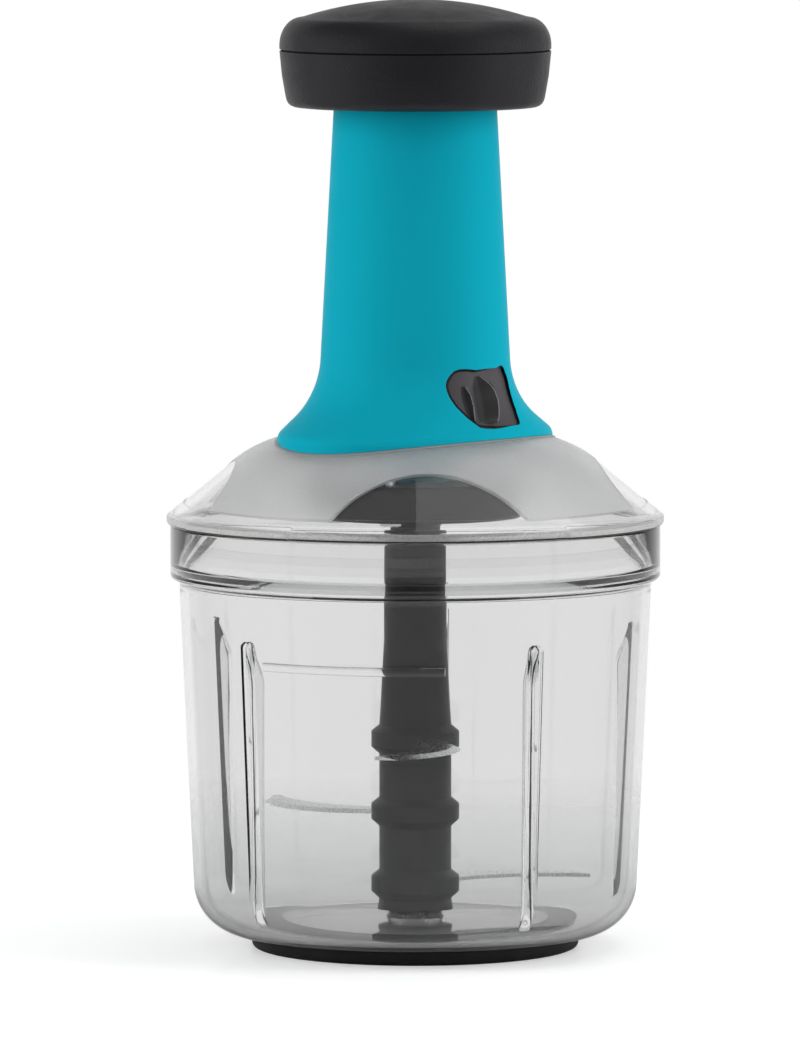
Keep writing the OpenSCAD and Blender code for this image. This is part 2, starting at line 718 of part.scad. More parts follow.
// the foot of the strip isn't twisted
module strip_foot(h) {
    translate([-strip_w / 2, -strip_t / 2, strip_z]) cube([strip_w, strip_t, h]);
}

module drive_coupler() {
    color("#2c292c") difference() {
        union() {
            rotate_extrude() polygon([
                [0, plug_top_z], [funnel_low_r, plug_top_z], [funnel_low_r, funnel_z],
                [journal_r + 1.4, hub_z - 0.2], [journal_r, hub_z - 0.2],
                [journal_r, disc_z], [disc_r, disc_z], [disc_r, disc_z + disc_t],
                [journal_top_r, disc_z + disc_t], [journal_top_r, coupler_top_z],
                [0, coupler_top_z]]);
            translate([0, 0, plug_z])
                cylinder(r = plug_af / 2 / cos(30), h = plug_top_z - plug_z + eps, $fn = 6);
        }
        strip_foot(coupler_top_z - strip_z + 1);
    }
}

module spindle() {
    twisted_h = strip_top_z - coupler_top_z;
    slices = ceil(twisted_h / strip_slice);
    color("#c9ccd0") {
        strip_foot(coupler_top_z - strip_z);
        loft([for (k = [0:slices]) strip_ring(coupler_top_z + twisted_h * k / slices, 0)]);
    }
}

module spindle_sleeve() {
    color("#14a9bf") rotate_extrude() polygon([
        [journal_top_r + journal_gap, hub_top_z], [sleeve_r, hub_top_z], [sleeve_r, lid_z],
        [sleeve_r + 3, lid_z], [sleeve_r + 3, sleeve_top_z], [sleeve_r - 4, sleeve_top_z],
        [sleeve_r - 4, coupler_top_z + 1], [journal_top_r + journal_gap, coupler_top_z + 1]]);
}

module fixing_screws() {
    color("#b9bcc0") at_screws() {
        translate([0, 0, hub_z - head_t / 2]) difference() {
            cylinder(r = head_r, h = head_t, $fn = 48);
            translate([0, 0, -1]) cylinder(r = 1.3, h = 1.9, $fn = 6);
        }
        translate([0, 0, hub_z + head_t / 2 - eps])
            cylinder(r = screw_r, h = screw_top_z - hub_z - head_t / 2, $fn = 32);
    }
}

// ---- column ----

module column_gasket() {
    color("#d8dadb") band([
        ring_on_lid(gasket_out, snug), ring_on_lid(gasket_out, gasket_t),
        ring_on_lid(-column_wall, gasket_t), ring_on_lid(-column_wall, snug)]);
}

// webs that tie the screw bosses to the flared wall
boss_web = 2;
web_r = (long_r(screw_top_z) + short_r(screw_top_z) - column_wall) / 2;

// shares of the flare's height, closer together where the foot is rounded
flare_levels = [0, 0.04, 0.08, 0.12, 0.16, 0.2, 0.26, 0.34, 0.43, 0.52, 0.61, 0.7, 0.8, 0.9, 1];

module column_outer() {
    under = column_wall * 1.1; // just past the foot's wall, so that its underside follows the dome
    loft(concat(
        [ring_on_lid(-under, rest)],
        [for (share = flare_levels) ring_flare(share, 0)],
        [ring_oval(column_top_z - 0.6, 0), ring_oval(column_top_z, 0.6)]));
}

module column_cavity() {
    top_share = (cavity_h - 1) / flare_h;
    loft(concat(
        [ring_on_lid(-column_wall, -column_wall)],
        [for (share = flare_levels) if (share < top_share) ring_flare(share, column_wall)],
        [ring_oval(cavity_z, column_wall)]));
}

// the slider's outer face and the skin over it follow the column's short side
lock_levels = [for (i = [0:6]) lid_z + lock_low + (lock_high - lock_low) * i / 6];
function skin_r(z) = short_r(z) - lock_skin;

// outline of the opening as shares: 1 is lock_half to the right, and 1 is from low to high
lock_shape = [[-0.6, 1], [-0.1, 0.98], [0.65, 1], [0.88, 1.02], [0.97, 1.02], [1.08, 0.97],
    [1.24, 0.78], [1.22, 0.45], [1.14, 0.24], [1.01, 0.04], [0.93, 0], [0.3, -0.01],
    [-0.18, -0.01], [-0.33, 0.02], [-0.42, 0.08], [-0.68, 0.27], [-0.92, 0.52], [-0.98, 0.64],
    [-1, 0.73], [-0.96, 0.82], [-0.87, 0.91], [-0.75, 0.97]];

// x runs round the column, y runs up
module lock_outline() {
    polygon([for (p = lock_shape) let (z = lid_z + lock_low + (lock_high - lock_low) * p[1])
        [skin_r(z) * sin(lock_half * p[0]), z]]);
}

module lock_opening() {
    rotate([0, 0, lock_az]) translate([bore_r + 1.2, 0, 0]) rotate([90, 0, 90])
        linear_extrude(foot_long) lock_outline();
}

// pocket behind the skin, long enough for the slider's turn, and the slot for its latch
module lock_pocket() {
    side = plate_side + pocket_side;
    low = lid_z + lock_low - plate_over - pocket_gap;
    high = lid_z + lock_high + plate_over + pocket_gap;
    rotate([0, 0, lock_az - lock_half - side])
        rotate_extrude(angle = lock_half + lock_right + lock_turn + 2 * side) polygon(concat(
            [[bore_r + 1.4, high], [bore_r + 1.4, low], [skin_r(low), low]],
            [for (z = lock_levels) [skin_r(z), z]],
            [[skin_r(high), high]]));
    latch_side = pocket_side + 0.5;
    slot_low = latch_z - pocket_gap;
    slot_high = latch_z + latch_t + pocket_gap;
    rotate([0, 0, lock_az - latch_half - latch_side])
        rotate_extrude(angle = 2 * (latch_half + latch_side) + lock_turn) polygon([
            [bore_r - 2, slot_low], [bore_r + 3, slot_low], [bore_r + 3, slot_high],
            [bore_r - 2, slot_high]]);
}

module column() {
    color("#14a9bf") difference() {
        union() {
            difference() {
                column_outer();
                column_cavity();
            }
            at_screws() translate([0, 0, lid_z + 0.05]) {
                cylinder(r = boss_r, h = screw_top_z - lid_z, $fn = 48);
                translate([0, -boss_web / 2, 0])
                    cube([web_r - screw_ring_r, boss_web, screw_top_z - lid_z]);
            }
        }
        translate([0, 0, lid_z - 1]) cylinder(r = bore_r, h = column_h + 2);
        at_screws() translate([0, 0, lid_z - 1])
            cylinder(r = screw_r, h = screw_top_z - lid_z + 1, $fn = 32);
        lock_opening();
        lock_pocket();
    }
}

module guide_bush() {
    color("#ece9e2") union() {
        rotate_extrude() polygon([
            [tube_r + guide_gap, bush_z], [bore_r - press, bush_z], [bore_r - press, column_top_z],
            [lip_r, column_top_z], [lip_r, column_top_z + lip_t],
            [tube_r + guide_gap, column_top_z + lip_t]]);
        ring_part(oval_az, atan((key_w / 2 - guide_gap) / tube_r), [
            [tube_r - key_in + 0.3, bush_z + key_rise], [tube_r + 0.5, bush_z + key_rise],
            [tube_r + 0.5, column_top_z + lip_t], [tube_r - key_in + 0.3, column_top_z + lip_t]]);
    }
}

module bumper_ring() {
    color("#3a3a3d") tube(sleeve_r + 2, neck_in_r - 2, sleeve_top_z, bumper_t);
}

// one unbroken wire: coils of a helix with flat rings of points, 8 to a coil and 6 points each
module return_spring() {
    low = lid_z + wire_d / 2 + 0.1;
    high = collar_low_z - wire_d / 2 - 0.3;
    steps = 8 * coils;
    wire_r = wire_d / 2;
    rings = [for (k = [0:steps])
        let (a = 360 * k / 8, z = low + (high - low) * k / steps)
        [for (i = [0:5]) let (b = 60 * i, r = spring_r + wire_r * cos(b))
            [r * cos(a), r * sin(a), z + wire_r * sin(b)]]];
    gap = (high - low) / coils - wire_d;
    echo(spring_least_gap = gap);
    color("#b9bcc0") loft(rings);
}

// ---- plunger and knob ----

module plunger_tube() {
    spring_seat = spring_r + wire_d;
    color("#2b2a2d") difference() {
        rotate_extrude() polygon([
            [neck_in_r - 1.6, neck_z], [neck_r, neck_z], [neck_r, collar_low_z],
            [max(tube_collar_r, spring_seat), collar_low_z], [tube_collar_r, collar_top_z],
            [tube_r, collar_top_z], [tube_r, tube_top_z], [tube_flange_r, tube_top_z],
            [tube_flange_r, tube_top_z + tube_flange_t], [tube_in_r, tube_top_z + tube_flange_t],
            [tube_in_r, collar_top_z + 2], [neck_in_r, collar_top_z],
            [neck_in_r, nut_z], [neck_in_r - 1.6, nut_z]]);
        rotate([0, 0, oval_az]) translate([tube_r - key_in, -key_w / 2, collar_top_z + key_rise])
            cube([2 * key_in, key_w, tube_top_z - collar_top_z - key_rise - 0.1]);
        ring_part(lock_az, notch_half, [
            [latch_in_r - 0.3, collar_low_z - 1], [tube_collar_r + 2, collar_low_z - 1],
            [tube_collar_r + 2, collar_top_z + 1], [latch_in_r - 0.3, collar_top_z + 1]]);
        for (i = [0:2]) rotate([0, 0, 60 + 120 * i])
            translate([tube_screw_ring_r, 0, tube_top_z - 1])
                cylinder(r = screw_r, h = tube_flange_t + 2, $fn = 32);
    }
}

// saw teeth on a face: upright on one side, sloping on the other
module saw_teeth(r) {
    pitch = 360 / clutch_teeth;
    for (i = [0:clutch_teeth - 1]) rotate([0, 0, i * pitch]) intersection() {
        rotate([90, 0, 90]) linear_extrude(r) polygon([
            [0, 0], [r * sin(pitch), 0], [0, tooth_h]]);
        cylinder(r = r, h = tooth_h);
        rotate_extrude(angle = pitch) square([r, tooth_h]);
    }
}

module clutch_bore() { translate([0, 0, -1]) cylinder(r = strip_w / 2 + 0.7, h = 20); }

module drive_nut() {
    disc = nut_t - tooth_h;
    cuts = ceil((nut_t + 2) / strip_slice);
    color("#e9e4d6") difference() {
        translate([0, 0, nut_z]) {
            cylinder(r = nut_r, h = disc);
            translate([0, 0, disc - eps]) difference() {
                saw_teeth(nut_r - 0.3);
                clutch_bore();
            }
        }
        loft([for (k = [0:cuts]) strip_ring(nut_z - 1 + (nut_t + 2) * k / cuts, nut_gap)]);
    }
}

module clutch_ring() {
    root = 0.15; // gaps at the tips and on the flanks of the teeth
    color("#3a3a3d") translate([0, 0, clutch_z - tooth_h]) difference() {
        translate([0, 0, root]) cylinder(r = nut_r, h = clutch_t + tooth_h - root);
        clutch_bore();
        translate([0, 0, snug]) saw_teeth(nut_r + 1);
    }
}

// outer face of the slider's plate
function plate_r(z) = skin_r(z) - lock_gap;

// one thumb fin: it rises from its left foot to a crest, which drops steeply on the right.
// line holds [height over the lid, direction of the foot, direction of the crest, share of out]
module fin(out, line) {
    drop = 1.6; // degrees from the crest down to the plate
    root = 0.4;
    function pt(az, r, z) = [r * cos(lock_az + az), r * sin(lock_az + az), z];
    loft([for (p = line) let (z = lid_z + p[0], r = plate_r(z)) [
        pt(p[1] + (p[2] - p[1]) * 0.4, r + out * p[3] * 0.55, z), pt(p[2], r + out * p[3], z),
        pt(p[2] + drop, r - root, z), pt((p[1] + p[2]) / 2, r - 2 * root, z),
        pt(p[1], r - root, z)]]);
}

module lock_slider() {
    low = lock_low - plate_over;
    high = lock_high + plate_over;
    levels = [for (i = [0:6]) lid_z + low + (high - low) * i / 6];
    color("#2a292d") {
        rotate([0, 0, lock_az - lock_half - plate_side])
            rotate_extrude(angle = lock_half + lock_right + 2 * plate_side) polygon(concat(
                [for (z = levels) [plate_r(z), z]],
                [for (i = [6:-1:0]) [plate_r(levels[i]) - lock_plate, levels[i]]]));
        fin(small_fin_out, [[5, -9.4, -8.6, 0.9], [6.4, -11.9, -8.4, 1], [9, -13.4, -7.6, 1],
            [11.9, -13.9, -8.1, 0.8], [14.8, -13.6, -10.4, 0.1]]);
        fin(fin_out, [[4.3, -6.7, 4.4, 0.85], [5, -6.8, 5.4, 1], [6.2, -6.8, 7.2, 1],
            [8.2, -6.8, 8.9, 1], [10.4, -6.8, 10, 1], [12.6, -6.5, 9.1, 0.9],
            [14.9, -5, 6.1, 0.65], [17.6, -2.5, 0.6, 0.1]]);
    }
}

module lock_latch() {
    out_r = plate_r(latch_z + latch_t) - lock_plate;
    color("#2a292d") ring_part(lock_az, latch_half, [
        [latch_in_r, latch_z], [out_r, latch_z], [out_r, latch_z + latch_t],
        [latch_in_r, latch_z + latch_t]]);
}

module knob_base() {
    edge = 1.6;
    recess_r = column_top_r + 1.1;
    color("#2f2e33") difference() {
        rotate_extrude() polygon(concat(
            [[recess_r, knob_z]],
            arc(knob_low_r - edge, knob_z + edge, edge, -90, -8, 5),
            [[knob_r, seam_z - 0.3], [knob_r - 0.3, seam_z], [knob_r - knob_wall, seam_z]],
            [[knob_r - knob_wall, seam_z - spigot_h - 1]],
            [[knob_low_r - knob_wall, tube_top_z], [tube_r + guide_gap, tube_top_z]],
            [[tube_r + guide_gap, knob_floor_z], [recess_r, knob_floor_z]]));
        for (i = [0:2]) rotate([0, 0, 60 + 120 * i])
            translate([tube_screw_ring_r, 0, tube_top_z - tube_screw_d - snug])
                cylinder(r = screw_r, h = 2 * tube_screw_d, $fn = 32);
    }
}

module tube_screws() {
    color("#b9bcc0") for (i = [0:2]) rotate([0, 0, 60 + 120 * i])
        translate([tube_screw_ring_r, 0, tube_top_z]) {
            translate([0, 0, -tube_screw_d])
                cylinder(r = screw_r, h = tube_screw_d + tube_flange_t, $fn = 32);
            translate([0, 0, tube_flange_t]) cylinder(r = head_r, h = head_t, $fn = 48);
        }
}

module knob_cap() {
    low = seam_z + seam_h;
    spigot_r = knob_r - knob_wall - snug; // the crown's spigot goes down inside the skirt
    under = crown_edge_z - knob_wall;
    shoulder = crown_edge_z - low;
    color("#3b3a40") rotate_extrude() polygon(concat(
        [[spigot_r - 1.6, seam_z - spigot_h], [spigot_r, seam_z - spigot_h], [spigot_r, low]],
        [[knob_r - 0.3, low], [knob_r, low + 0.3]],
        [for (a = [0:15:75]) [crown_edge_r + 6 * cos(a), low + 1.2 + (shoulder - 1.2) * sin(a)]],
        [for (i = [6:-1:0]) let (r = crown_edge_r * i / 6) [r, crown(r)]],
        [for (i = [0:5]) let (r = (crown_edge_r - 2) * i / 5) [r, crown(r) - knob_wall]],
        [[spigot_r - 1.6, under - 2]]));
}

anti_slip_ring();
bowl();
pivot_pin();
blade_shaft();
lower_blade();
middle_blade();
upper_blade();
lid();
lid_seal();
housing_cover();
drive_housing();
bearing_bush();
thrust_washer();
drive_coupler();
spindle();
spindle_sleeve();
fixing_screws();
column_gasket();
column();
guide_bush();
bumper_ring();
return_spring();
plunger_tube();
drive_nut();
clutch_ring();
lock_slider();
lock_latch();
knob_base();
tube_screws();
knob_cap();
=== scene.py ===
"""Looks of a push chopper: a clear bowl, a domed frosted lid with clear windows and a teal column.

Lengths are millimetres until a mesh is made. Angles are degrees from +X, seen from above.
"""

import math

import bmesh
import bpy
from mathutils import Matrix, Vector


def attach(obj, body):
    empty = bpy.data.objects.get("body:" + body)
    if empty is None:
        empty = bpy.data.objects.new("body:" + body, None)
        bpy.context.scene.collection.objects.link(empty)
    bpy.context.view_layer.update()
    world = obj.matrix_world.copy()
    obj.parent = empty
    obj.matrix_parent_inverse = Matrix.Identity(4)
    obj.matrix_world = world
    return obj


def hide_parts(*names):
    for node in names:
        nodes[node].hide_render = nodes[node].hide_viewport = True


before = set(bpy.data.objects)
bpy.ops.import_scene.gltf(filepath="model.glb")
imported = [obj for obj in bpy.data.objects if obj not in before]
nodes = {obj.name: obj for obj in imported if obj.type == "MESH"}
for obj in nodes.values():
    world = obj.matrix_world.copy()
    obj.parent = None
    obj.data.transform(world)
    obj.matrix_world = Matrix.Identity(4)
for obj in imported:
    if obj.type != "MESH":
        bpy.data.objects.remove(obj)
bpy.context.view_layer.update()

MM = 0.001

# ---------------------------------------------------------------- sizes, as the CAD has them

BOWL_FOOT_H = 4.0
FLOOR_Z = 6.6
RIM_Z = 117.0
COLLAR_Z = 101.8
SHELF_Z = 106.0
COLLAR_R = 67.3
COLLAR_IN_R = 65.1
BOWL_FOOT_R = 61.0
BOWL_NECK_R = 64.9
BOWL_CORNER_R = 14.0
BOWL_WALL = 2.4
WALL_LOW_Z = BOWL_FOOT_H + BOWL_CORNER_R
RIB_AZ = [7.5, 79.5, 151.5, 220.8, 297.2]
RIB_HALF = 1.9
RIB_FACE_R = 56.6
RIB_HIGH = 88.3
RIB_RISE = 12.0
RIB_STEP = 1.0
RIB_GROOVE = 0.8
RIB_ROUND_R = 62.0  # where a rib's breadth is turned into an angle
FILL_AZ = -110.0
FILL_SWEEP = 47.0
FILL_Z = 81.0
FILL_H = 2.1
RING_BORE_R = 37.0
RING_R = 45.0
RING_TOP_Z = 5.4

LID_R = 68.25
SLOPE = math.radians(39.5)
SHOULDER_R = 35.0
FLAT_R = 28.4
CONE_END = (LID_R - 0.6, RIM_Z + 2.6)
CONE_TOP_R = FLAT_R + SHOULDER_R * math.sin(SLOPE)
CONE_TOP_Z = CONE_END[1] + (CONE_END[0] - CONE_TOP_R) * math.tan(SLOPE)
LID_Z = CONE_TOP_Z + SHOULDER_R * (1 - math.cos(SLOPE))
LID_WALL = 2.2
LID_BORE_R = 11.1
WINDOW_AZ = [-90, 0, 90, 180]
WINDOW_R = 32.4
WINDOW_DROP = 13.9
WINDOW_LOW = 3.9
WINDOW_STEP = 0.3
TAB_AZ = [-39, 39, 141, 219]
TAB_HALF = 18.25
TAB_OUT = 0.85
TAB_EASE = 1.2
SKIRT_R = 64.2
SKIRT_IN_R = 62.0
SKIRT_LOW_Z = 107.5
SEAL_GROOVE_R = 63.0
SEAL_LOW_Z = 110.0
SEAL_TOP_Z = 112.4

COLUMN_H = 90.4
COLUMN_TOP_Z = LID_Z + COLUMN_H
COLUMN_TOP_R = 22.3
COLUMN_LOW_R = 27.1
COLUMN_SKIN = 0.8
FOOT_LONG = 43.6
FOOT_SHORT = 33.2
OVAL_AZ = math.radians(-133.5)
FLARE_H = 20.4
FLARE_LEAN = math.radians(52)
FLARE_ARC_SHARE = 0.83
FOOT_ROUND = 3.5
FOOT_RISE = 1.4
GASKET_T = 0.4
GASKET_OUT = 0.8
GASKET_IN = 2.6
GASKET_GAP = 0.05
OPENING_R = 29.0
LOCK_AZ = -52.0
LOCK_HALF = 24.0
LOCK_RIGHT = 29.8
LOCK_SKIN = 0.85
LOCK_GAP = 0.2
LOCK_TURNS = (0, 2.5, 5, 7.5, 10)
PLATE_T = 1.8

KNOB_Z = COLUMN_TOP_Z - 0.9
KNOB_LOW_R = 35.0
KNOB_R = 37.2
SEAM_Z = KNOB_Z + 15.4
SEAM_H = 0.3
CROWN_Z = KNOB_Z + 29.4
CROWN_H = 4.9
CROWN_ROUND_R = 6.0
CROWN_EDGE_R = KNOB_R - CROWN_ROUND_R
CROWN_WALL = 2.5
KNOB_BORE_R = 23.4
KNOB_FLOOR_Z = 233.9
KNOB_ROOF_Z = 237.0
TUBE_R = 18.1
COVER_IN_R = 32.9
COVER_LIP_R = 34.55

SHAFT_LOW_Z = 9.8
SHAFT_TOP_Z = 112.0
SHAFT_LOW_R = 10.5
SHAFT_TOP_R = 8.6
PIN_BORE_R = 2.55
SOCKET_R = 5.4
SOCKET_Z = 101.2
SHAFT_COLLARS = (17.0, 37.0, 57.0)
SHAFT_COLLAR_R = 12.1
SHAFT_NECK_R = 9.9

# ---------------------------------------------------------------- light and camera, in metres

WORLD_LEVEL = 0.44
FLOOR_GLOW = 0.46
FLOOR_SHEEN = 0.1
FLOOR_FADE = (0.16, 0.42)  # how far from the middle the floor starts to fade and is gone
FLOOR_RINGS = (0.0, 150.0, 450.0)  # millimetres
BACK_WALL = (0.45, 1.0, 0.0, 1.0)  # a smooth ramp: from, to, value before, value after
SIDE_GLOW = (0.5, 1.0, 0.0, 0.45)
WALL_TOP = (0.35, 0.6, 1.0, 0.0)
SOFTBOXES = (  # name, place, target, size, power, seen in mirrors
    ("right", (1.28, -0.35, 0.4), (0, 0, 0.14), (0.8, 1.3), 14.8, False),
    ("left", (-1.29, -0.34, 0.4), (0, 0, 0.14), (0.8, 1.3), 13.5, False),
    ("top", (0.47, 0.3, 1.5), (0.47, 0.3, 0), (0.92, 1.6), 4.5, True),
)
CAMERA_LENS = 335.0
CAMERA_TURN = math.radians(3.5)
CAMERA_FAR = 2.65
CAMERA_HIGH = 0.345
AIM_HIGH = 0.1175
AIM_SIDE = 0.0042

# ---------------------------------------------------------------- materials and meshes

PLASTIC_IOR = 1.49
NOISE_ROUGH = 0.55
BUMP_DEEP = 0.0002
MIX_A, MIX_B, MIX_COLOR = 6, 7, 2  # the colour sockets of a mix node


# ---------------------------------------------------------------- numbers


def step(a, b, x):
    """Smooth rise from 0 at a to 1 at b."""
    t = min(max((x - a) / (b - a), 0.0), 1.0)
    return t * t * (3 - 2 * t)


def between(points, x):
    """Straight-line value at x of points (x, y) that are in order of x."""
    if x <= points[0][0]:
        return points[0][1]
    for (xa, ya), (xb, yb) in zip(points, points[1:]):
        if x <= xb:
            return ya + (yb - ya) * (x - xa) / (xb - xa)
    return points[-1][1]


def spread(a, b, n):
    """n + 1 even values from a to b."""
    return [a + (b - a) * k / n for k in range(n + 1)]


def turn_gap(a, b):
    """Least angle between two directions, in degrees."""
    return abs((a - b + 180) % 360 - 180)


def rounded(corners, n=5):
    """A closed outline from corners (r, z, fillet radius)."""
    out = []
    for k, (x, y, fillet) in enumerate(corners):
        here = Vector((x, y))
        if not fillet:
            out.append((x, y))
            continue
        prev = Vector(corners[k - 1][:2])
        after = Vector(corners[(k + 1) % len(corners)][:2])
        to_prev = (prev - here).normalized()
        to_next = (after - here).normalized()
        half = math.acos(max(-1, min(1, to_prev.dot(to_next)))) / 2
        room = min((prev - here).length, (after - here).length) * 0.5
        back = min(fillet / math.tan(half), room)
        a, b = here + to_prev * back, here + to_next * back
        for t in spread(0, 1, n):
            p = a * (1 - t) ** 2 + here * 2 * t * (1 - t) + b * t * t
            out.append((p.x, p.y))
    return out


# ---------------------------------------------------------------- meshes


def make(name, verts, faces, materials, face_slots=None, sharp=32,
         body=None, swaps=(), slot=None):
    """An object from millimetre points, smooth except at edges sharper than sharp degrees."""
    mesh = bpy.data.meshes.new(name)
    mesh.from_pydata([(x * MM, y * MM, z * MM) for x, y, z in verts], [], faces)
    for material in materials:
        mesh.materials.append(material)
    if face_slots:
        mesh.polygons.foreach_set("material_index", face_slots)
    work = bmesh.new()
    work.from_mesh(mesh)
    bmesh.ops.remove_doubles(work, verts=work.verts, dist=1e-7)
    bmesh.ops.dissolve_degenerate(work, edges=work.edges, dist=1e-7)
    bmesh.ops.recalc_face_normals(work, faces=work.faces)
    work.to_mesh(mesh)
    work.free()
    mesh.polygons.foreach_set("use_smooth", [True] * len(mesh.polygons))
    mesh.set_sharp_from_angle(angle=math.radians(sharp))
    obj = bpy.data.objects.new(name, mesh)
    bpy.context.scene.collection.objects.link(obj)
    if body:
        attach(obj, body)
    if swaps:
        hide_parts(*swaps)
    return obj


def ring_grid(rings, closed_rings):
    """Quads between rings of points; closed_rings joins the last ring to the first."""
    n = len(rings[0])
    count = len(rings) if closed_rings else len(rings) - 1
    faces = []
    for k in range(count):
        low, high = k * n, (k + 1) % len(rings) * n
        for i in range(n):
            j = (i + 1) % n
            faces.append((low + i, low + j, high + j, high + i))
    return [p for ring in rings for p in ring], faces


def lathe(name, outline, material, segments=160, **more):
    """Turns a closed outline (r, z)."""
    angles = [math.tau * i / segments for i in range(segments)]
    rings = [[(r * math.cos(a), r * math.sin(a), z) for a in angles] for r, z in outline]
    verts, faces = ring_grid(rings, True)
    return make(name, verts, faces, [material], **more)


def turned(name, columns, profile, materials, pick, **more):
    """Turns an outline that profile(az) gives at each direction in columns.

    pick(row) gives the material slot of the faces along a row of the outline.
    """
    rings = []
    for az in columns:
        a = math.radians(az)
        rings.append([(r * math.cos(a), r * math.sin(a), z) for r, z in profile(az)])
    n = len(rings[0])
    verts = [p for ring in rings for p in ring]
    faces, slots = [], []
    for k in range(len(rings)):
        here, after = k * n, (k + 1) % len(rings) * n
        for i in range(n):
            j = (i + 1) % n
            faces.append((here + i, after + i, after + j, here + j))
            slots.append(pick(i))
    return make(name, verts, faces, materials, slots, **more)


# ---------------------------------------------------------------- materials


class Nodes:
    """The nodes of one material, under short names."""

    def __init__(self, name):
        self.material = bpy.data.materials.new(name)
        self.material.use_nodes = True
        self.tree = self.material.node_tree
        self.tree.nodes.clear()
        self.out = self.add("ShaderNodeOutputMaterial")
        self.place = self.add("ShaderNodeTexCoord").outputs["Object"]

    def add(self, kind, **values):
        node = self.tree.nodes.new(kind)
        for key, value in values.items():
            setattr(node, key, value)
        return node

    def link(self, a, b):
        self.tree.links.new(a, b)

    def noise(self, scale, detail, stretch=None):
        """Noise over the object, scale in features per metre."""
        node = self.add("ShaderNodeTexNoise")
        node.inputs["Scale"].default_value = scale
        node.inputs["Detail"].default_value = detail
        node.inputs["Roughness"].default_value = NOISE_ROUGH
        source = self.place
        if stretch:
            mapping = self.add("ShaderNodeMapping")
            mapping.inputs["Scale"].default_value = stretch
            self.link(source, mapping.inputs["Vector"])
            source = mapping.outputs["Vector"]
        self.link(source, node.inputs["Vector"])
        return node.outputs["Fac"]

    def spread(self, value, low, high, from_low=0.3, from_high=0.7):
        """Maps a noise value to the range low..high."""
        node = self.add("ShaderNodeMapRange")
        for key, number in (("From Min", from_low), ("From Max", from_high),
                            ("To Min", low), ("To Max", high)):
            node.inputs[key].default_value = number
        self.link(value, node.inputs["Value"])
        return node.outputs["Result"]

    def mix(self, factor, a, b):
        """A colour between a and b."""
        node = self.add("ShaderNodeMix", data_type="RGBA")
        self.link(factor, node.inputs["Factor"])
        node.inputs[MIX_A].default_value = (*a, 1)
        node.inputs[MIX_B].default_value = (*b, 1)
        return node.outputs[MIX_COLOR]

    def bump(self, height, strength, distance):
        """A normal from a height; distance is in metres."""
        node = self.add("ShaderNodeBump")
        node.inputs["Strength"].default_value = strength
        node.inputs["Distance"].default_value = distance
        self.link(height, node.inputs["Height"])
        return node.outputs["Normal"]

    def surface(self, color, roughness, normal=None, **constants):
        """The one Principled shader, with its constants by socket name."""
        shader = self.add("ShaderNodeBsdfPrincipled")
        self.link(color, shader.inputs["Base Color"])
        self.link(roughness, shader.inputs["Roughness"])
        if normal:
            self.link(normal, shader.inputs["Normal"])
        for key, value in constants.items():
            shader.inputs[key.replace("_", " ")].default_value = value
        self.link(shader.outputs["BSDF"], self.out.inputs["Surface"])
        return self.material


def plastic(name, dark, light, rough, grain=900.0, depth=0.04, **constants):
    """Moulded plastic: two close colours, uneven gloss and a fine grain."""
    n = Nodes(name)
    color = n.mix(n.noise(35, 3), dark, light)
    gloss = n.spread(n.noise(160, 5), rough - 0.05, rough + 0.05)
    normal = n.bump(n.noise(grain * 1.6, 3), depth, BUMP_DEEP)
    return n.surface(color, gloss, normal, **constants)


def clear(name, tint, rough):
    """Clear moulded plastic with a faint unevenness in its polish."""
    n = Nodes(name)
    color = n.mix(n.noise(20, 2), tint, [min(1, c * 1.01) for c in tint])
    gloss = n.spread(n.noise(120, 4), rough, rough + 0.03)
    return n.surface(color, gloss, Transmission_Weight=1.0, IOR=PLASTIC_IOR)


def frosted(name, dark, light, rough, through):
    """Milky moulded plastic with a fine sparkle, half see-through."""
    n = Nodes(name)
    color = n.mix(n.spread(n.noise(1700, 3), 0, 1), dark, light)
    gloss = n.spread(n.noise(500, 4), rough, rough + 0.1)
    normal = n.bump(n.noise(1700, 2), 0.12, BUMP_DEEP)
    return n.surface(color, gloss, normal, Transmission_Weight=through, IOR=PLASTIC_IOR)


def steel(name, rough, stretch=None):
    """Steel with fine brush marks; stretch draws them out along an axis."""
    n = Nodes(name)
    brush = n.noise(900, 3, stretch=stretch)
    color = n.mix(brush, (0.5, 0.51, 0.52), (0.66, 0.67, 0.68))
    gloss = n.spread(brush, rough - 0.06, rough + 0.1)
    normal = n.bump(brush, 0.06, BUMP_DEEP / 2)
    return n.surface(color, gloss, normal, Metallic=1.0)


TEAL = plastic("teal_shell", (0.004, 0.345, 0.455), (0.005, 0.365, 0.475), 0.42,
               Specular_IOR_Level=0.01)
# paler and greyer than the shell's teal: a painted reflection of the window over the sleeve's own
# teal
TEAL_SLEEVE = plastic("teal_sleeve", (0.1, 0.42, 0.5), (0.11, 0.44, 0.52), 0.35)
BLACK = plastic("black_satin", (0.011, 0.0105, 0.0115), (0.014, 0.0135, 0.0145), 0.42,
                depth=0.01, Specular_IOR_Level=0.2)
SLIDER = plastic("slider_satin", (0.062, 0.058, 0.062), (0.072, 0.067, 0.072), 0.4,
                 Specular_IOR_Level=0.4)
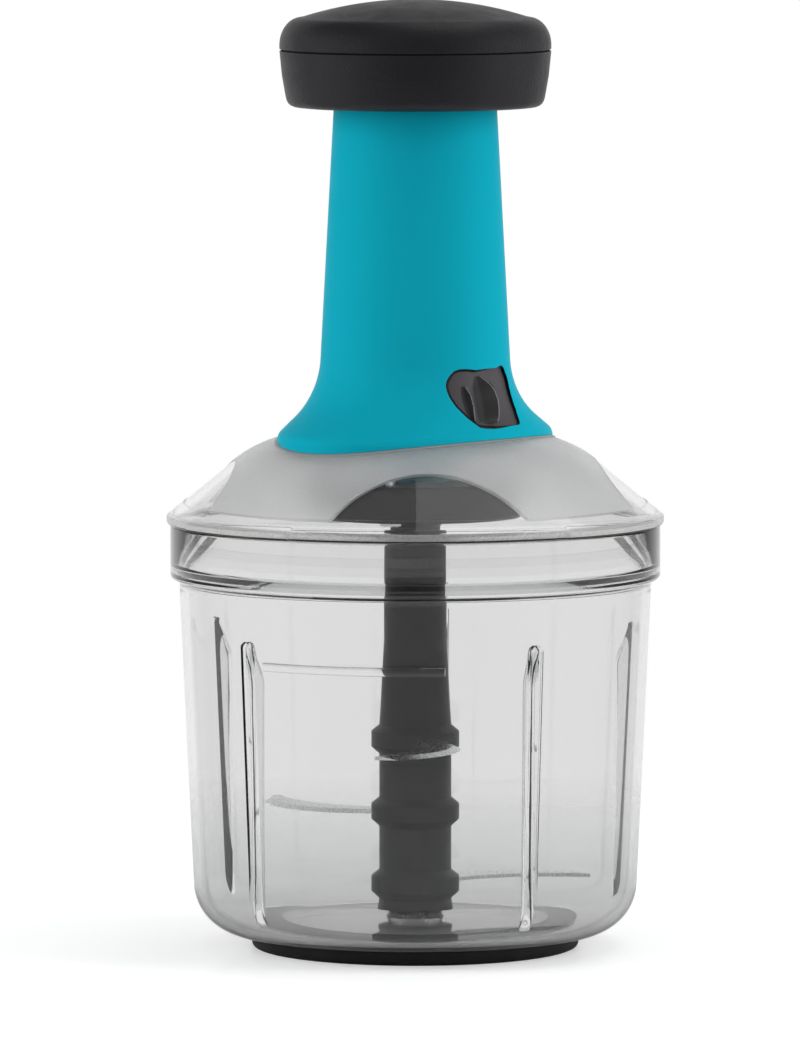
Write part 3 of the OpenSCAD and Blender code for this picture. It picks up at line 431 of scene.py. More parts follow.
# the slider's painted light: half-shade and shade on the fins' faces and in the groove, a painted
# highlight on the crests
SLIDER_HALF_SHADE = plastic("slider_painted_half_shade", (0.036, 0.034, 0.036), (0.042, 0.04, 0.042), 0.4)
SHADE = plastic("slider_painted_shade", (0.02, 0.019, 0.02), (0.025, 0.023, 0.025), 0.4)
CREST_HIGHLIGHT = plastic("crest_painted_highlight", (0.15, 0.145, 0.15), (0.18, 0.175, 0.18), 0.35)
GRAINED = plastic("knob_grain", (0.011, 0.0105, 0.0125), (0.018, 0.017, 0.0205), 0.48,
                  grain=950.0, depth=0.8, Specular_IOR_Level=0.5)
RUBBER = plastic("ring_rubber", (0.009, 0.009, 0.0095), (0.014, 0.014, 0.0145), 0.62,
                 Specular_IOR_Level=0.3)
BEARING = plastic("bearing_white", (0.72, 0.7, 0.64), (0.78, 0.76, 0.7), 0.4)
SILICONE = plastic("pale_silicone", (0.3, 0.31, 0.315), (0.35, 0.36, 0.365), 0.45,
                   Transmission_Weight=0.2)
CLEAR_BOWL = clear("clear_shell", (0.85, 0.853, 0.85), 0.0)
# near-black clear plastic: painted shade under the bowl's collar and under the lid's rim
LEDGE_SHADE = clear("painted_shade_ledge", (0.007, 0.006, 0.005), 0.1)
CLEAR_WINDOW = clear("clear_window", (0.92, 0.92, 0.92), 0.01)
CLEAR_SKIRT = plastic("clear_skirt", (0.6, 0.6, 0.59), (0.66, 0.66, 0.65), 0.2, Alpha=0.055)
CLEAR_SEAL = plastic("clear_seal", (0.55, 0.55, 0.54), (0.6, 0.6, 0.59), 0.4, Alpha=0.04)
FROSTED = frosted("frosted_shell", (0.88, 0.88, 0.88), (0.99, 0.99, 0.99), 0.3, 0.76)
# a darker copy of the frosted plastic: painted shade on the lid's rim band
FROSTED_RIM_SHADE = frosted("frosted_rim_painted_shade", (0.4, 0.395, 0.385), (0.66, 0.655, 0.645), 0.3, 0.5)
BLADE = steel("blade_brushed", 0.24, stretch=(1, 1, 0.05))
STEEL = steel("screw_polished", 0.2)

for name, material in {
    "anti_slip_ring": RUBBER, "bowl": CLEAR_BOWL, "pivot_pin": STEEL, "blade_shaft": BLACK,
    "lower_blade": BLADE, "middle_blade": BLADE, "upper_blade": BLADE, "lid": FROSTED,
    "lid_seal": CLEAR_SEAL, "housing_cover": BLACK, "drive_housing": BLACK,
    "bearing_bush": BEARING, "thrust_washer": STEEL, "drive_coupler": BLACK, "spindle": STEEL,
    "spindle_sleeve": TEAL_SLEEVE, "fixing_screws": STEEL, "column_gasket": SILICONE,
    "column": TEAL, "guide_bush": BEARING, "bumper_ring": RUBBER, "return_spring": STEEL,
    "plunger_tube": BLACK, "drive_nut": BEARING, "clutch_ring": BLACK,
    "lock_slider": SLIDER, "lock_latch": SLIDER, "knob_base": BLACK,
    "tube_screws": STEEL, "knob_cap": GRAINED,
}.items():
    for held in nodes[name].material_slots:
        held.material = material


# ---------------------------------------------------------------- bowl


def wall_r(z):
    """Outer radius of the bowl's wall at height z."""
    return BOWL_FOOT_R + (BOWL_NECK_R - BOWL_FOOT_R) * (z - WALL_LOW_Z) / (COLLAR_Z - WALL_LOW_Z)


def corner(cx, cz, r, a, b, n):
    """Points of an arc from a to b degrees round (cx, cz)."""
    return [(cx + r * math.cos(math.radians(t)), cz + r * math.sin(math.radians(t)))
            for t in spread(a, b, n)]


def build_bowl():
    """The bowl with its ribs and fill line, as one closed body."""
    corner_in = BOWL_CORNER_R - BOWL_WALL
    outer = [(0, BOWL_FOOT_H), (20, BOWL_FOOT_H), (46.0, BOWL_FOOT_H)]
    outer += corner(BOWL_FOOT_R - BOWL_CORNER_R, WALL_LOW_Z, BOWL_CORNER_R, -90, -3, 16)
    fill_top = FILL_Z + FILL_H
    heights = [24, 36, 48, 60, 72, FILL_Z - 0.15, FILL_Z, FILL_Z + 0.2]
    heights += [fill_top - 0.2, fill_top, fill_top + 0.15, 85]
    heights += spread(RIB_HIGH - 2, RIB_HIGH + 0.1, 8) + [92, 99, 101]
    outer += [(wall_r(z), z) for z in heights]
    ledge = len(outer)
    outer += [(wall_r(COLLAR_Z) + 0.25, COLLAR_Z - 0.45)]
    outer += corner(COLLAR_R - 1.4, COLLAR_Z + 1.4, 1.4, -62, 0, 7)
    outer += [(COLLAR_R, 110.0)] + corner(COLLAR_R - 0.8, RIM_Z - 0.8, 0.8, 0, 90, 5)
    inner = corner(COLLAR_IN_R + 0.5, RIM_Z - 0.5, 0.5, 90, 180, 4)
    inner += [(COLLAR_IN_R, SHELF_Z + 0.6), (COLLAR_IN_R - 0.12, SHELF_Z),
              (COLLAR_IN_R - 0.5, SHELF_Z - 0.7)]
    inner += [(wall_r(102.8) - BOWL_WALL + 0.35, 102.8), (wall_r(101.6) - BOWL_WALL, 101.6)]
    inner += [(wall_r(z) - BOWL_WALL, z) for z in
              [98, 92] + spread(RIB_HIGH + 0.1, RIB_HIGH - 2, 10) + spread(85, 74, 8)
              + [68, 56, 44, 32, 24]]
    inner += corner(BOWL_FOOT_R - BOWL_WALL - corner_in, FLOOR_Z + corner_in, corner_in,
                    -3, -90, 18)
    inner += [(30, FLOOR_Z), (8.0, FLOOR_Z), (7.4, FLOOR_Z + 2.4), (6.9, FLOOR_Z + 2.9),
              (2.5, FLOOR_Z + 2.9), (2.5, FLOOR_Z), (0, FLOOR_Z)]
    first_inner = len(outer)

    def rib_share(az, z):
        """1 along the middle of a rib, 0 beside it and above its round top."""
        across = math.radians(min(turn_gap(az, at) for at in RIB_AZ)) * RIB_ROUND_R
        half = RIB_HALF
        if z > RIB_HIGH - half:
            half = math.sqrt(max(half ** 2 - (z - RIB_HIGH + half) ** 2, 0.0))
        return math.sqrt(1 - (across / half) ** 2) if across < half else 0.0

    def rib_reach(r, z):
        """How far a rib stands in from the wall: it slopes out of the wall below its top."""
        return max(RIB_STEP + (r - RIB_FACE_R - RIB_STEP) * step(0, RIB_RISE, RIB_HIGH - z), 0.0)

    def profile(az):
        on_line = turn_gap(az, FILL_AZ) <= FILL_SWEEP / 2
        points = []
        for k, (r, z) in enumerate(outer + inner):
            if k < first_inner:
                if on_line and FILL_Z - 0.05 < z < fill_top + 0.05:
                    r += 0.35 if FILL_Z < z < fill_top else 0.2
                if 20 < z < RIB_HIGH:
                    r -= RIB_GROOVE * rib_share(az, z)
            elif FLOOR_Z < z < RIB_HIGH and r > RIB_FACE_R:
                r -= rib_reach(r, z) * rib_share(az, z)
            points.append((r, z))
        return points

    columns = set(spread(0, 360, 240)[:-1])
    edge = math.degrees(RIB_HALF / RIB_ROUND_R)
    for end in (-1, 1):
        columns |= {(at + edge * end * t) % 360 for at in RIB_AZ
                    for t in (0, 0.2, 0.4, 0.6, 0.75, 0.86, 0.94, 0.98, 1, 1.05)}
        columns |= {(FILL_AZ + end * (FILL_SWEEP / 2 + extra)) % 360 for extra in (0, 0.15)}
    # the row under the collar is painted near-black, as painted shade under the ledge
    turned("bowl_shell", sorted(columns), profile, [CLEAR_BOWL, LEDGE_SHADE],
           lambda row: 1 if row == ledge else 0, sharp=38, body="bowl_body",
           swaps=["bowl"], slot="clear_plastic")


def build_foot_ring():
    """The rubber ring that the bowl stands on."""
    outline = rounded([(RING_BORE_R, RING_TOP_Z, 0), (RING_BORE_R, 0, 1.0),
                       (RING_R, 0, 1.7), (RING_R, RING_TOP_Z, 0.3)])
    lathe("foot_ring", outline, RUBBER, body="bowl_body", swaps=["anti_slip_ring"],
          slot="rubber")


# ---------------------------------------------------------------- lid


def dome(r):
    """Height of the lid's skin at radius r."""
    if r <= FLAT_R:
        return LID_Z
    if r <= CONE_TOP_R:
        return LID_Z - SHOULDER_R + math.sqrt(SHOULDER_R ** 2 - (r - FLAT_R) ** 2)
    return CONE_TOP_Z - (r - CONE_TOP_R) * math.tan(SLOPE)


def lid_point(along, inset=0.0):
    """Point of the lid's skin at a distance along it from the rim, pushed in by inset."""
    if along <= CONE_RUN:
        lean = SLOPE
        r = CONE_END[0] - along * math.cos(SLOPE)
        z = CONE_END[1] + along * math.sin(SLOPE)
    else:
        lean = max(SLOPE - (along - CONE_RUN) / SHOULDER_R, 0.0)
        flat = max(along - CONE_RUN - SLOPE * SHOULDER_R, 0.0)
        r = FLAT_R + SHOULDER_R * math.sin(lean) - flat
        z = LID_Z - SHOULDER_R * (1 - math.cos(lean))
    return r - inset * math.sin(lean), z - inset * math.cos(lean)


CONE_RUN = (CONE_END[0] - CONE_TOP_R) / math.cos(SLOPE)
LID_RUN = CONE_RUN + SLOPE * SHOULDER_R + FLAT_R - LID_BORE_R
BASE_RUN = WINDOW_LOW / math.cos(SLOPE)


def window_top(az):
    """Distance along the skin to a window's round edge, or to its straight side outside it."""
    off = math.radians(min(turn_gap(az, at) for at in WINDOW_AZ))
    low, high = BASE_RUN, BASE_RUN + WINDOW_R
    for _ in range(30):
        mid = (low + high) / 2
        r, z = lid_point(mid)
        base_r, base_z = lid_point(BASE_RUN)
        side = r * math.sin(off)
        up = (base_r - r * math.cos(off)) * math.cos(SLOPE) + (z - base_z) * math.sin(SLOPE)
        inside = side ** 2 + (up + WINDOW_DROP) ** 2 < WINDOW_R ** 2
        low, high = (mid, high) if inside else (low, mid)
    return low if low - BASE_RUN > 0.02 else BASE_RUN


def window_half():
    """Half the angle that a window goes round."""
    low, high = 5.0, 44.0
    for _ in range(40):
        mid = (low + high) / 2
        low, high = (mid, high) if window_top(WINDOW_AZ[0] + mid) > BASE_RUN else (low, mid)
    return low


def build_lid():
    """The lid: frosted, with clear windows set in by a small step."""
    half = window_half()
    dome_rows, window_rows = 26, 14

    def tab(az):
        """How far a grip tab stands out of the rim."""
        off = min(turn_gap(az, at) for at in TAB_AZ)
        return TAB_OUT * (1 - step(TAB_HALF - TAB_EASE, TAB_HALF, off))

    def profile(az):
        top = window_top(az)
        out = tab(az)
        ease = min(1.0, (top - BASE_RUN) / 0.6)
        edge = 0.12 * ease
        deep = WINDOW_STEP * ease
        points = [lid_point(t) for t in spread(LID_RUN, top, dome_rows)]
        points += [lid_point(t, deep) for t in spread(top - edge, BASE_RUN + edge, window_rows)]
        points += [lid_point(BASE_RUN), lid_point(BASE_RUN * 0.5), lid_point(0.35)]
        points += [(LID_R - 0.25 + out * 0.4, CONE_END[1] - 0.15),
                   (LID_R + out * 0.85, CONE_END[1] - 0.65),
                   (LID_R + out, CONE_END[1] - 1.2), (LID_R + out, RIM_Z + 0.6),
                   (LID_R + out - 0.25, RIM_Z + 0.12), (LID_R - 0.4, RIM_Z)]
        points += [(SKIRT_R, RIM_Z), (SKIRT_R, SEAL_TOP_Z), (SEAL_GROOVE_R, SEAL_TOP_Z),
                   (SEAL_GROOVE_R, SEAL_LOW_Z), (SKIRT_R, SEAL_LOW_Z),
                   (SKIRT_R, SKIRT_LOW_Z + 0.6), (SKIRT_R - 0.6, SKIRT_LOW_Z),
                   (SKIRT_IN_R + 0.4, SKIRT_LOW_Z), (SKIRT_IN_R, SKIRT_LOW_Z + 0.5),
                   (SKIRT_IN_R, RIM_Z + 0.7)]
        points += [lid_point(t, LID_WALL) for t in (0.9, BASE_RUN)]
        points += [lid_point(t, LID_WALL) for t in spread(BASE_RUN, top, window_rows)[1:]]
        points += [lid_point(t, LID_WALL) for t in spread(top, LID_RUN, dome_rows)[1:]]
        return points

    # rows of the outline: the dome, the window and 3 points under it, 6 points round the rim,
    # 10 points round the skirt, and then the inside
    rim = dome_rows + window_rows + 5
    inside = rim + 17
    # slots: 1 the clear windows and the band under them, 2 the skirt, 3 painted shadow on the
    # rim's underside, 4 the rim band in a darker frosted copy as painted shade
    spans = ((1, dome_rows + 1, rim - 4), (1, rim - 3, rim),
             (1, inside - 1, inside + window_rows), (2, rim + 5, inside - 1),
             (3, rim + 3, rim + 4), (4, rim, rim + 3))
    kinds = {row: kind for kind, first, last in spans for row in range(first, last)}

    columns = set()
    for at in WINDOW_AZ:
        near = spread(-half, half, 90)
        near += [end * (half - t) for end in (-1, 1) for t in (0.03, 0.1, 0.2, 0.35)]
        gaps = spread(half, 90 - half, 30)[1:-1]
        columns |= {round((at + t) % 360, 5) for t in near + gaps}
    for at in TAB_AZ:
        columns |= {round((at + end * (TAB_HALF - t)) % 360, 5)
                    for end in (-1, 1) for t in (0, 0.3, 0.6, 0.9, TAB_EASE)}
    turned("lid_dome", sorted(columns), profile,
           [FROSTED, CLEAR_WINDOW, CLEAR_SKIRT, LEDGE_SHADE, FROSTED_RIM_SHADE],
           lambda row: kinds.get(row, 0), sharp=34, body="lid_body",
           swaps=["lid"], slot="frosted_plastic")


# ---------------------------------------------------------------- column

FLARE_SPAN = FLARE_H - FOOT_RISE
FLARE_ARC_H = FLARE_SPAN * FLARE_ARC_SHARE
FLARE_ARC_R = FLARE_ARC_H / math.sin(FLARE_LEAN)
FLARE_ARC_OUT = FLARE_ARC_R * (1 - math.cos(FLARE_LEAN))
ROUND_H = FOOT_ROUND * math.sin(FLARE_LEAN)
ROUND_OUT = FOOT_ROUND * (1 - math.cos(FLARE_LEAN))
LEAN_OUT = (FLARE_SPAN - FLARE_ARC_H) * math.tan(FLARE_LEAN)
FLARE_OUT = FLARE_ARC_OUT + LEAN_OUT + ROUND_OUT


def flare(z):
    """Share of the flare at height z: 0 on the straight column, 1 at the oval foot."""
    drop = LID_Z + FLARE_H - z
    if drop <= 0:
        return 0.0
    if drop <= FLARE_ARC_H:
        return (FLARE_ARC_R - math.sqrt(FLARE_ARC_R ** 2 - drop ** 2)) / FLARE_OUT
    if drop <= FLARE_SPAN:
        return (FLARE_ARC_OUT + (drop - FLARE_ARC_H) * math.tan(FLARE_LEAN)) / FLARE_OUT
    if drop <= FLARE_SPAN + ROUND_H:
        left = FLARE_SPAN + ROUND_H - drop
        return (FLARE_ARC_OUT + LEAN_OUT + math.sqrt(FOOT_ROUND ** 2 - left ** 2)
                - FOOT_ROUND * math.cos(FLARE_LEAN)) / FLARE_OUT
    return 1.0


def column_r(az, z):
    """Outer radius of the column in direction az, in degrees, at height z."""
    taper = COLUMN_LOW_R + (COLUMN_TOP_R - COLUMN_LOW_R) * (z - LID_Z) / COLUMN_H
    long_r = taper + flare(z) * (FOOT_LONG - taper)
    short_r = taper + flare(z) * (FOOT_SHORT - taper)
    a = math.radians(az) - OVAL_AZ
    return long_r * short_r / math.hypot(short_r * math.cos(a), long_r * math.sin(a))


def foot_edge(az):
    """Radius and height of the foot's edge, where the flare comes down to the lid."""
    z = LID_Z
    for _ in range(8):
        r = column_r(az, z)
        z = dome(r) + GASKET_T + GASKET_GAP
    return r, z


def at(az, z, r):
    """A point from its direction in degrees, its height and its radius."""
    a = math.radians(az)
    return (r * math.cos(a), r * math.sin(a), z)


# outline of the lock's opening: degrees from the slider's direction, height over the lid
LOCK_OUTLINE = [
    (-14.6, 19.1), (-8.9, 19.1), (-2.2, 18.7), (4.6, 18.9), (10.7, 18.9), (15.9, 18.9),
    (21.1, 19.35), (23.3, 19.35), (26.1, 18.5), (29.7, 15.6), (28.9, 11.5), (27.5, 7.3),
    (24.2, 3.9), (22.2, 3.35), (14.5, 3.3), (7.3, 3.0), (1.2, 2.9), (-4.2, 3.1), (-7.6, 3.4),
    (-9.5, 4.2), (-13.0, 5.7), (-16.1, 7.4), (-19.3, 9.2), (-22.0, 11.45), (-23.3, 13.2),
    (-23.8, 14.8), (-23.0, 16.1), (-20.7, 17.6), (-18.0, 18.6)]


def build_column():
    """The column as a shell, with a rounded lip round the lock's opening."""
    outline = [(LOCK_AZ + turn, LID_Z + up) for turn, up in LOCK_OUTLINE]
    mid_az = sum(p[0] for p in outline) / len(outline)
    mid_z = sum(p[1] for p in outline) / len(outline)
    scale = math.radians(1) * OPENING_R  # millimetres round the column for a degree

    def edge_at(direction):
        """Point of the outline in this direction from its middle, in degrees and height."""
        dx, dy = math.cos(direction), math.sin(direction)
        best = None
        for (aa, za), (ab, zb) in zip(outline, outline[1:] + outline[:1]):
            ax, ay = (aa - mid_az) * scale, za - mid_z
            bx, by = (ab - mid_az) * scale, zb - mid_z
            det = dx * (ay - by) - dy * (ax - bx)
            if abs(det) < 1e-9:
                continue
            t = (ax * (ay - by) - ay * (ax - bx)) / det
            s = (dx * ay - dy * ax) / det
            if t > 0 and -1e-6 <= s <= 1 + 1e-6 and (best is None or t > best):
                best = t
        return mid_az + dx * best / scale, mid_z + dy * best

    flare_top = LID_Z + FLARE_H
    box_az = (math.floor(min(p[0] for p in outline)) - 3.0,
              math.ceil(max(p[0] for p in outline)) + 9.0)
    box_z = (min(p[1] for p in outline) - 1.4, flare_top + 1.0)
    inside_az = spread(box_az[0], box_az[1], 62)
    outside_az = spread(box_az[1], box_az[0] + 360, 180)[1:-1]
    azimuths = inside_az + outside_az
    edges = [foot_edge(az) for az in azimuths]
    inside_z = spread(box_z[0], box_z[1], 40)
    low_shares = spread(0, 1, 12)[:-1]
    high_rows = spread(box_z[1], COLUMN_TOP_Z - 0.9, 26)[1:]
    rim = [(COLUMN_TOP_Z - 0.45, 0.12), (COLUMN_TOP_Z - 0.15, 0.4), (COLUMN_TOP_Z, 0.9)]
    index, verts, faces = {}, [], []

    def vert(key, point):
        if key not in index:
            index[key] = len(verts)
            verts.append(point)
        return index[key]

    def quad(a, b, c, d):
        faces.append((a, b, c, d))

    walls = {}
    rows = low_shares + inside_z + high_rows
    for side, deep in (("out", 0.0), ("in", COLUMN_SKIN)):
        def grid(i, k):
            i %= len(azimuths)
            z = rows[k]
            if k < len(low_shares):  # the lowest rows run from the foot's edge up to the box
                low = edges[i][1]
                z = low + (box_z[0] - low) * rows[k]
            return vert((side, i, k), at(azimuths[i], z, column_r(azimuths[i], z) - deep))

        first_in, last_in = len(low_shares), len(low_shares) + len(inside_z) - 1
        for k in range(len(rows) - 1):
            for i in range(len(azimuths)):
                if first_in <= k < last_in and i < len(inside_az) - 1:
                    continue
                quad(grid(i, k), grid(i + 1, k), grid(i + 1, k + 1), grid(i, k + 1))
        # the patch round the opening: from the box inwards to the outline
        border = [(i, first_in) for i in range(len(inside_az) - 1)]
        border += [(len(inside_az) - 1, k) for k in range(first_in, last_in)]
        border += [(i, last_in) for i in range(len(inside_az) - 1, 0, -1)]
        border += [(0, k) for k in range(last_in, first_in, -1)]
        steps = spread(0, 1, 10)
        ring_before = [grid(i, k) for i, k in border]
        for n, t in enumerate(steps[1:]):
            ring = []
            for m, (i, k) in enumerate(border):
                az, z = azimuths[i], rows[k]
                edge_az, edge_z = edge_at(math.atan2(z - mid_z, (az - mid_az) * scale))
                if side == "in":  # the wall leans into the opening, but at its right away from it
                    lean = 0.09 * (1 - step(-4, 18, edge_az - mid_az))
                    edge_z += (mid_z - edge_z) * lean
                    lean -= 0.22 * step(14, 24, edge_az - mid_az)
                    edge_az += (mid_az - edge_az) * lean
                here = (az + (edge_az - az) * t, z + (edge_z - z) * t)
                sink = 0.06 if t == 1 and side == "out" else 0.0
                ring.append(vert((side, "patch", m, n), at(*here, column_r(*here) - deep - sink)))
            for m in range(len(ring)):
                j = (m + 1) % len(ring)
                quad(ring_before[m], ring_before[j], ring[j], ring[m])
            ring_before = ring
        if side == "out":
            lip = ring_before
        else:
            count = len(lip)
            rim_ring = []
            for m, (a, b) in enumerate(zip(lip, ring_before)):
                point = tuple(p + (q - p) * 0.3 for p, q in zip(verts[a], verts[b]))
                rim_ring.append(vert(("lip", m), point))
            # the lip's wall is painted black as shade in the gap round the slider; at the right
            # its inner part takes the slider's grey instead
            for m in range(count):
                j = (m + 1) % count
                walls[len(faces)] = 1
                quad(lip[m], lip[j], rim_ring[j], rim_ring[m])
                here = math.degrees(math.atan2(verts[lip[m]][1], verts[lip[m]][0]))
                walls[len(faces)] = 2 if here > mid_az + 18 else 1
                quad(rim_ring[m], rim_ring[j], ring_before[j], ring_before[m])
    top_k = len(rows) - 1
    before = [index[("out", i, top_k)] for i in range(len(azimuths))]
    for n, (z, inset) in enumerate(rim):
        ring = [vert(("rim", i, n), at(az, z, column_r(az, z) - inset))
                for i, az in enumerate(azimuths)]
        for i in range(len(azimuths)):
            j = (i + 1) % len(azimuths)
            quad(before[i], before[j], ring[j], ring[i])
        before = ring
    inner = [index[("in", i, top_k)] for i in range(len(azimuths))]
    bottom_out = [index[("out", i, 0)] for i in range(len(azimuths))]
    bottom_in = [index[("in", i, 0)] for i in range(len(azimuths))]
    for i in range(len(azimuths)):
        j = (i + 1) % len(azimuths)
        quad(before[i], before[j], inner[j], inner[i])
        quad(bottom_out[i], bottom_out[j], bottom_in[j], bottom_in[i])
    slots = [walls.get(k, 0) for k in range(len(faces))]
    make("column_shell", verts, faces, [TEAL, BLACK, SLIDER], slots, sharp=40,
         body="lid_body", swaps=["column"], slot="teal_plastic")


def build_gasket():
    """The pale ring under the column's foot, which follows the lid's dome."""
    rings = []
    for grow, lift in ((GASKET_OUT, GASKET_GAP), (GASKET_OUT, GASKET_T - 0.2),
                       (GASKET_OUT - 0.2, GASKET_T), (-GASKET_IN, GASKET_T),
                       (-GASKET_IN, GASKET_GAP)):
        ring = []
        for az in spread(0, 360, 200)[:-1]:
            r = foot_edge(az)[0] + grow
            ring.append(at(az, dome(r) + lift, r))
        rings.append(ring)
    verts, faces = ring_grid(rings, True)
    make("foot_gasket", verts, faces, [SILICONE], body="lid_body",
         swaps=["column_gasket"], slot="clear_silicone")


# ---------------------------------------------------------------- lock slider

# each fin: its left foot and its crest as (height over the lid, degrees), its height and its ends
FINS = [
    {"foot": [(4.7, -9.3), (6.9, -12.3), (9.6, -13.5), (11.8, -13.9), (15.0, -13.4)],
     "crest": [(5.1, -8.8), (6.4, -8.4), (9.0, -7.6), (11.9, -8.1), (15.0, -10.6)],
     "out": 1.05, "top": 15.3, "low": 4.6, "fade": 3.5},
    {"foot": [(4.3, -6.7), (5.7, -6.8), (9.9, -6.8), (13.4, -6.3), (17.6, -2.5)],
     "crest": [(4.3, 3.5), (6.0, 6.6), (8.2, 8.9), (10.4, 10.0), (12.6, 9.1), (14.9, 6.1),
               (17.7, 0.2)],
     "out": 2.0, "top": 17.9, "low": 4.1, "fade": 4.5},
]
GROOVE = [(6.5, 10.8), (8.5, 12.7), (11.1, 13.8), (13.6, 13.0), (15.2, 9.9)]


def fin_height(turn, up):
    """How far the slider stands out, turn degrees round and up millimetres over the lid."""
    height = 0.0
    for fin in FINS:
        foot, crest = between(fin["foot"], up), between(fin["crest"], up)
        grow = (turn - foot) / max(crest - foot, 0.8)
        if grow <= 0:
            share = 0.0
        elif grow <= 1:
            share = grow ** 1.3
        else:
            share = 1 - step(0.3, 1.5, turn - crest)
        share *= step(0.0, fin["fade"], fin["top"] - up) * step(0.0, 0.7, up - fin["low"])
        height = max(height, fin["out"] * share)
    groove = math.exp(-((turn - between(GROOVE, up)) / 0.8) ** 2)
    groove *= step(6.0, 8.0, up) * (1 - step(13.8, 15.6, up))
    return height - 0.6 * groove


def fin_slot(turn, up):
    """Material slot: 1 a painted highlight on a fin's crest, 2 and 3 painted shade on its face, 2
    painted shade in the groove.
    """
    if 8 < up < 14 and abs(turn - between(GROOVE, up)) < 0.55:
        return 2
    for fin in FINS:
        foot, crest = between(fin["foot"], up), between(fin["crest"], up)
        if fin["low"] + 0.6 < up < fin["top"] - 1:
            if -0.35 < turn - crest < 0.3:
                return 1
            grow = (turn - foot) / (crest - foot)
            if 0.12 < grow < 1:
                return 2 if grow > 0.4 else 3
    return 0


def build_slider():
    """The slider: a curved plate behind the opening's edge, with two fins for the thumb."""
    below = LOCK_SKIN + LOCK_GAP
    azimuths = spread(LOCK_AZ - LOCK_HALF - 2, LOCK_AZ + LOCK_RIGHT + 8, 250)
    heights = spread(LID_Z + 2.2, LID_Z + 20.0, 150)
    verts, faces, slots = [], [], []

    def plate_r(az, z):  # clear of the column's inside over the whole turn of the slider
        return min(column_r(az + turn, z) for turn in LOCK_TURNS) - below

    for z in heights:
        for az in azimuths:
            verts.append(at(az, z, plate_r(az, z) + fin_height(az - LOCK_AZ, z - LID_Z)))
    n = len(azimuths)
    for k in range(len(heights) - 1):
        for i in range(n - 1):
            faces.append((k * n + i, k * n + i + 1, (k + 1) * n + i + 1, (k + 1) * n + i))
            middle = (azimuths[i] + azimuths[i + 1]) / 2
            slots.append(fin_slot(middle - LOCK_AZ, heights[k] - LID_Z))
    back = len(verts)
    for z in heights:
        for az in azimuths:
            verts.append(at(az, z, plate_r(az, z) - PLATE_T))
    for k in range(len(heights) - 1):
        for i in range(n - 1):
            faces.append((back + k * n + i, back + (k + 1) * n + i, back + (k + 1) * n + i + 1,
                          back + k * n + i + 1))
    last = (len(heights) - 1) * n
    for i in range(n - 1):
        faces.append((i, back + i, back + i + 1, i + 1))
        faces.append((last + i, last + i + 1, back + last + i + 1, back + last + i))
    for k in range(len(heights) - 1):
        a, b = k * n, (k + 1) * n
        faces.append((a, b, back + b, back + a))
        faces.append((a + n - 1, back + a + n - 1, back + b + n - 1, b + n - 1))
    slots += [0] * (len(faces) - len(slots))
    # slots 1 to 3 are a painted highlight on the crests and painted shade on the fins' faces and
    # in the groove
    make("slider_plate", verts, faces, [SLIDER, CREST_HIGHLIGHT, SHADE, SLIDER_HALF_SHADE], slots, sharp=50,
         body="lock", swaps=["lock_slider"], slot="black_plastic")


# ---------------------------------------------------------------- knob

CROWN_R = (CROWN_EDGE_R ** 2 + CROWN_H ** 2) / (2 * CROWN_H)


def crown(r):
    """Height of the knob's domed top at radius r."""
    return CROWN_Z - CROWN_R + math.sqrt(CROWN_R ** 2 - r * r)


def build_knob():
    """The knob's skirt and crown, with a narrow seam between them."""
    skirt = rounded([
        (KNOB_BORE_R, KNOB_Z, 0.4), (KNOB_LOW_R, KNOB_Z, 3.2), (36.5, KNOB_Z + 8.5, 4.0),
        (KNOB_R, SEAM_Z, 0.25), (36.6, SEAM_Z, 0), (36.4, SEAM_Z - 0.6, 0),
        (32.5, KNOB_ROOF_Z, 0.5), (TUBE_R, KNOB_ROOF_Z, 0), (TUBE_R, KNOB_FLOOR_Z, 0),
        (KNOB_BORE_R, KNOB_FLOOR_Z, 0.3)])
    lathe("knob_skirt", skirt, GRAINED, body="plunger", swaps=["knob_base"],
          slot="black_plastic")
    low = SEAM_Z + SEAM_H
    bend = low + 1.2
    shoulder = CROWN_Z - CROWN_H - bend
    outline = [(COVER_IN_R, SEAM_Z - 3), (COVER_LIP_R, SEAM_Z - 3), (COVER_LIP_R, SEAM_Z + 0.05),
               (36.5, SEAM_Z + 0.05), (KNOB_R - 0.5, low), (KNOB_R - 0.1, low + 0.12),
               (KNOB_R, low + 0.4)]
    for a in [math.radians(t) for t in spread(0, 78, 13)]:
        outline.append((CROWN_EDGE_R + CROWN_ROUND_R * math.cos(a), bend + shoulder * math.sin(a)))
    outline += [(r, crown(r)) for r in spread(CROWN_EDGE_R - 0.6, 0, 12)]
    outline += [(r, crown(r) - CROWN_WALL) for r in spread(0, CROWN_EDGE_R - 2, 6)]
    outline += [(COVER_IN_R, CROWN_Z - CROWN_H - 4.5)]
    lathe("knob_crown", outline, GRAINED, segments=200, sharp=34, body="plunger",
          swaps=["knob_cap"], slot="grained_plastic")


# ---------------------------------------------------------------- blade shaft


def build_shaft():
    """The upright shaft, with a collar at each blade and narrower above them."""
    corners = [(PIN_BORE_R, SHAFT_LOW_Z, 0.2), (SHAFT_LOW_R, SHAFT_LOW_Z, 0.8)]
    for z in SHAFT_COLLARS:
        corners += [(SHAFT_NECK_R, z - 3.6, 0.6), (SHAFT_COLLAR_R, z - 1.6, 0.5),
                    (SHAFT_COLLAR_R, z + 2.6, 0.5), (SHAFT_NECK_R, z + 4.4, 0.6)]
    corners += [(9.6, 65.8, 3.0), (SHAFT_TOP_R, 84.8, 9.0), (SHAFT_TOP_R, SHAFT_TOP_Z, 0.9),
                (SOCKET_R, SHAFT_TOP_Z, 0.2), (SOCKET_R, SOCKET_Z, 0), (PIN_BORE_R, SOCKET_Z, 0)]
    lathe("shaft_post", rounded(corners), BLACK, segments=96, body="blade_unit",
          swaps=["blade_shaft"], slot="black_plastic")


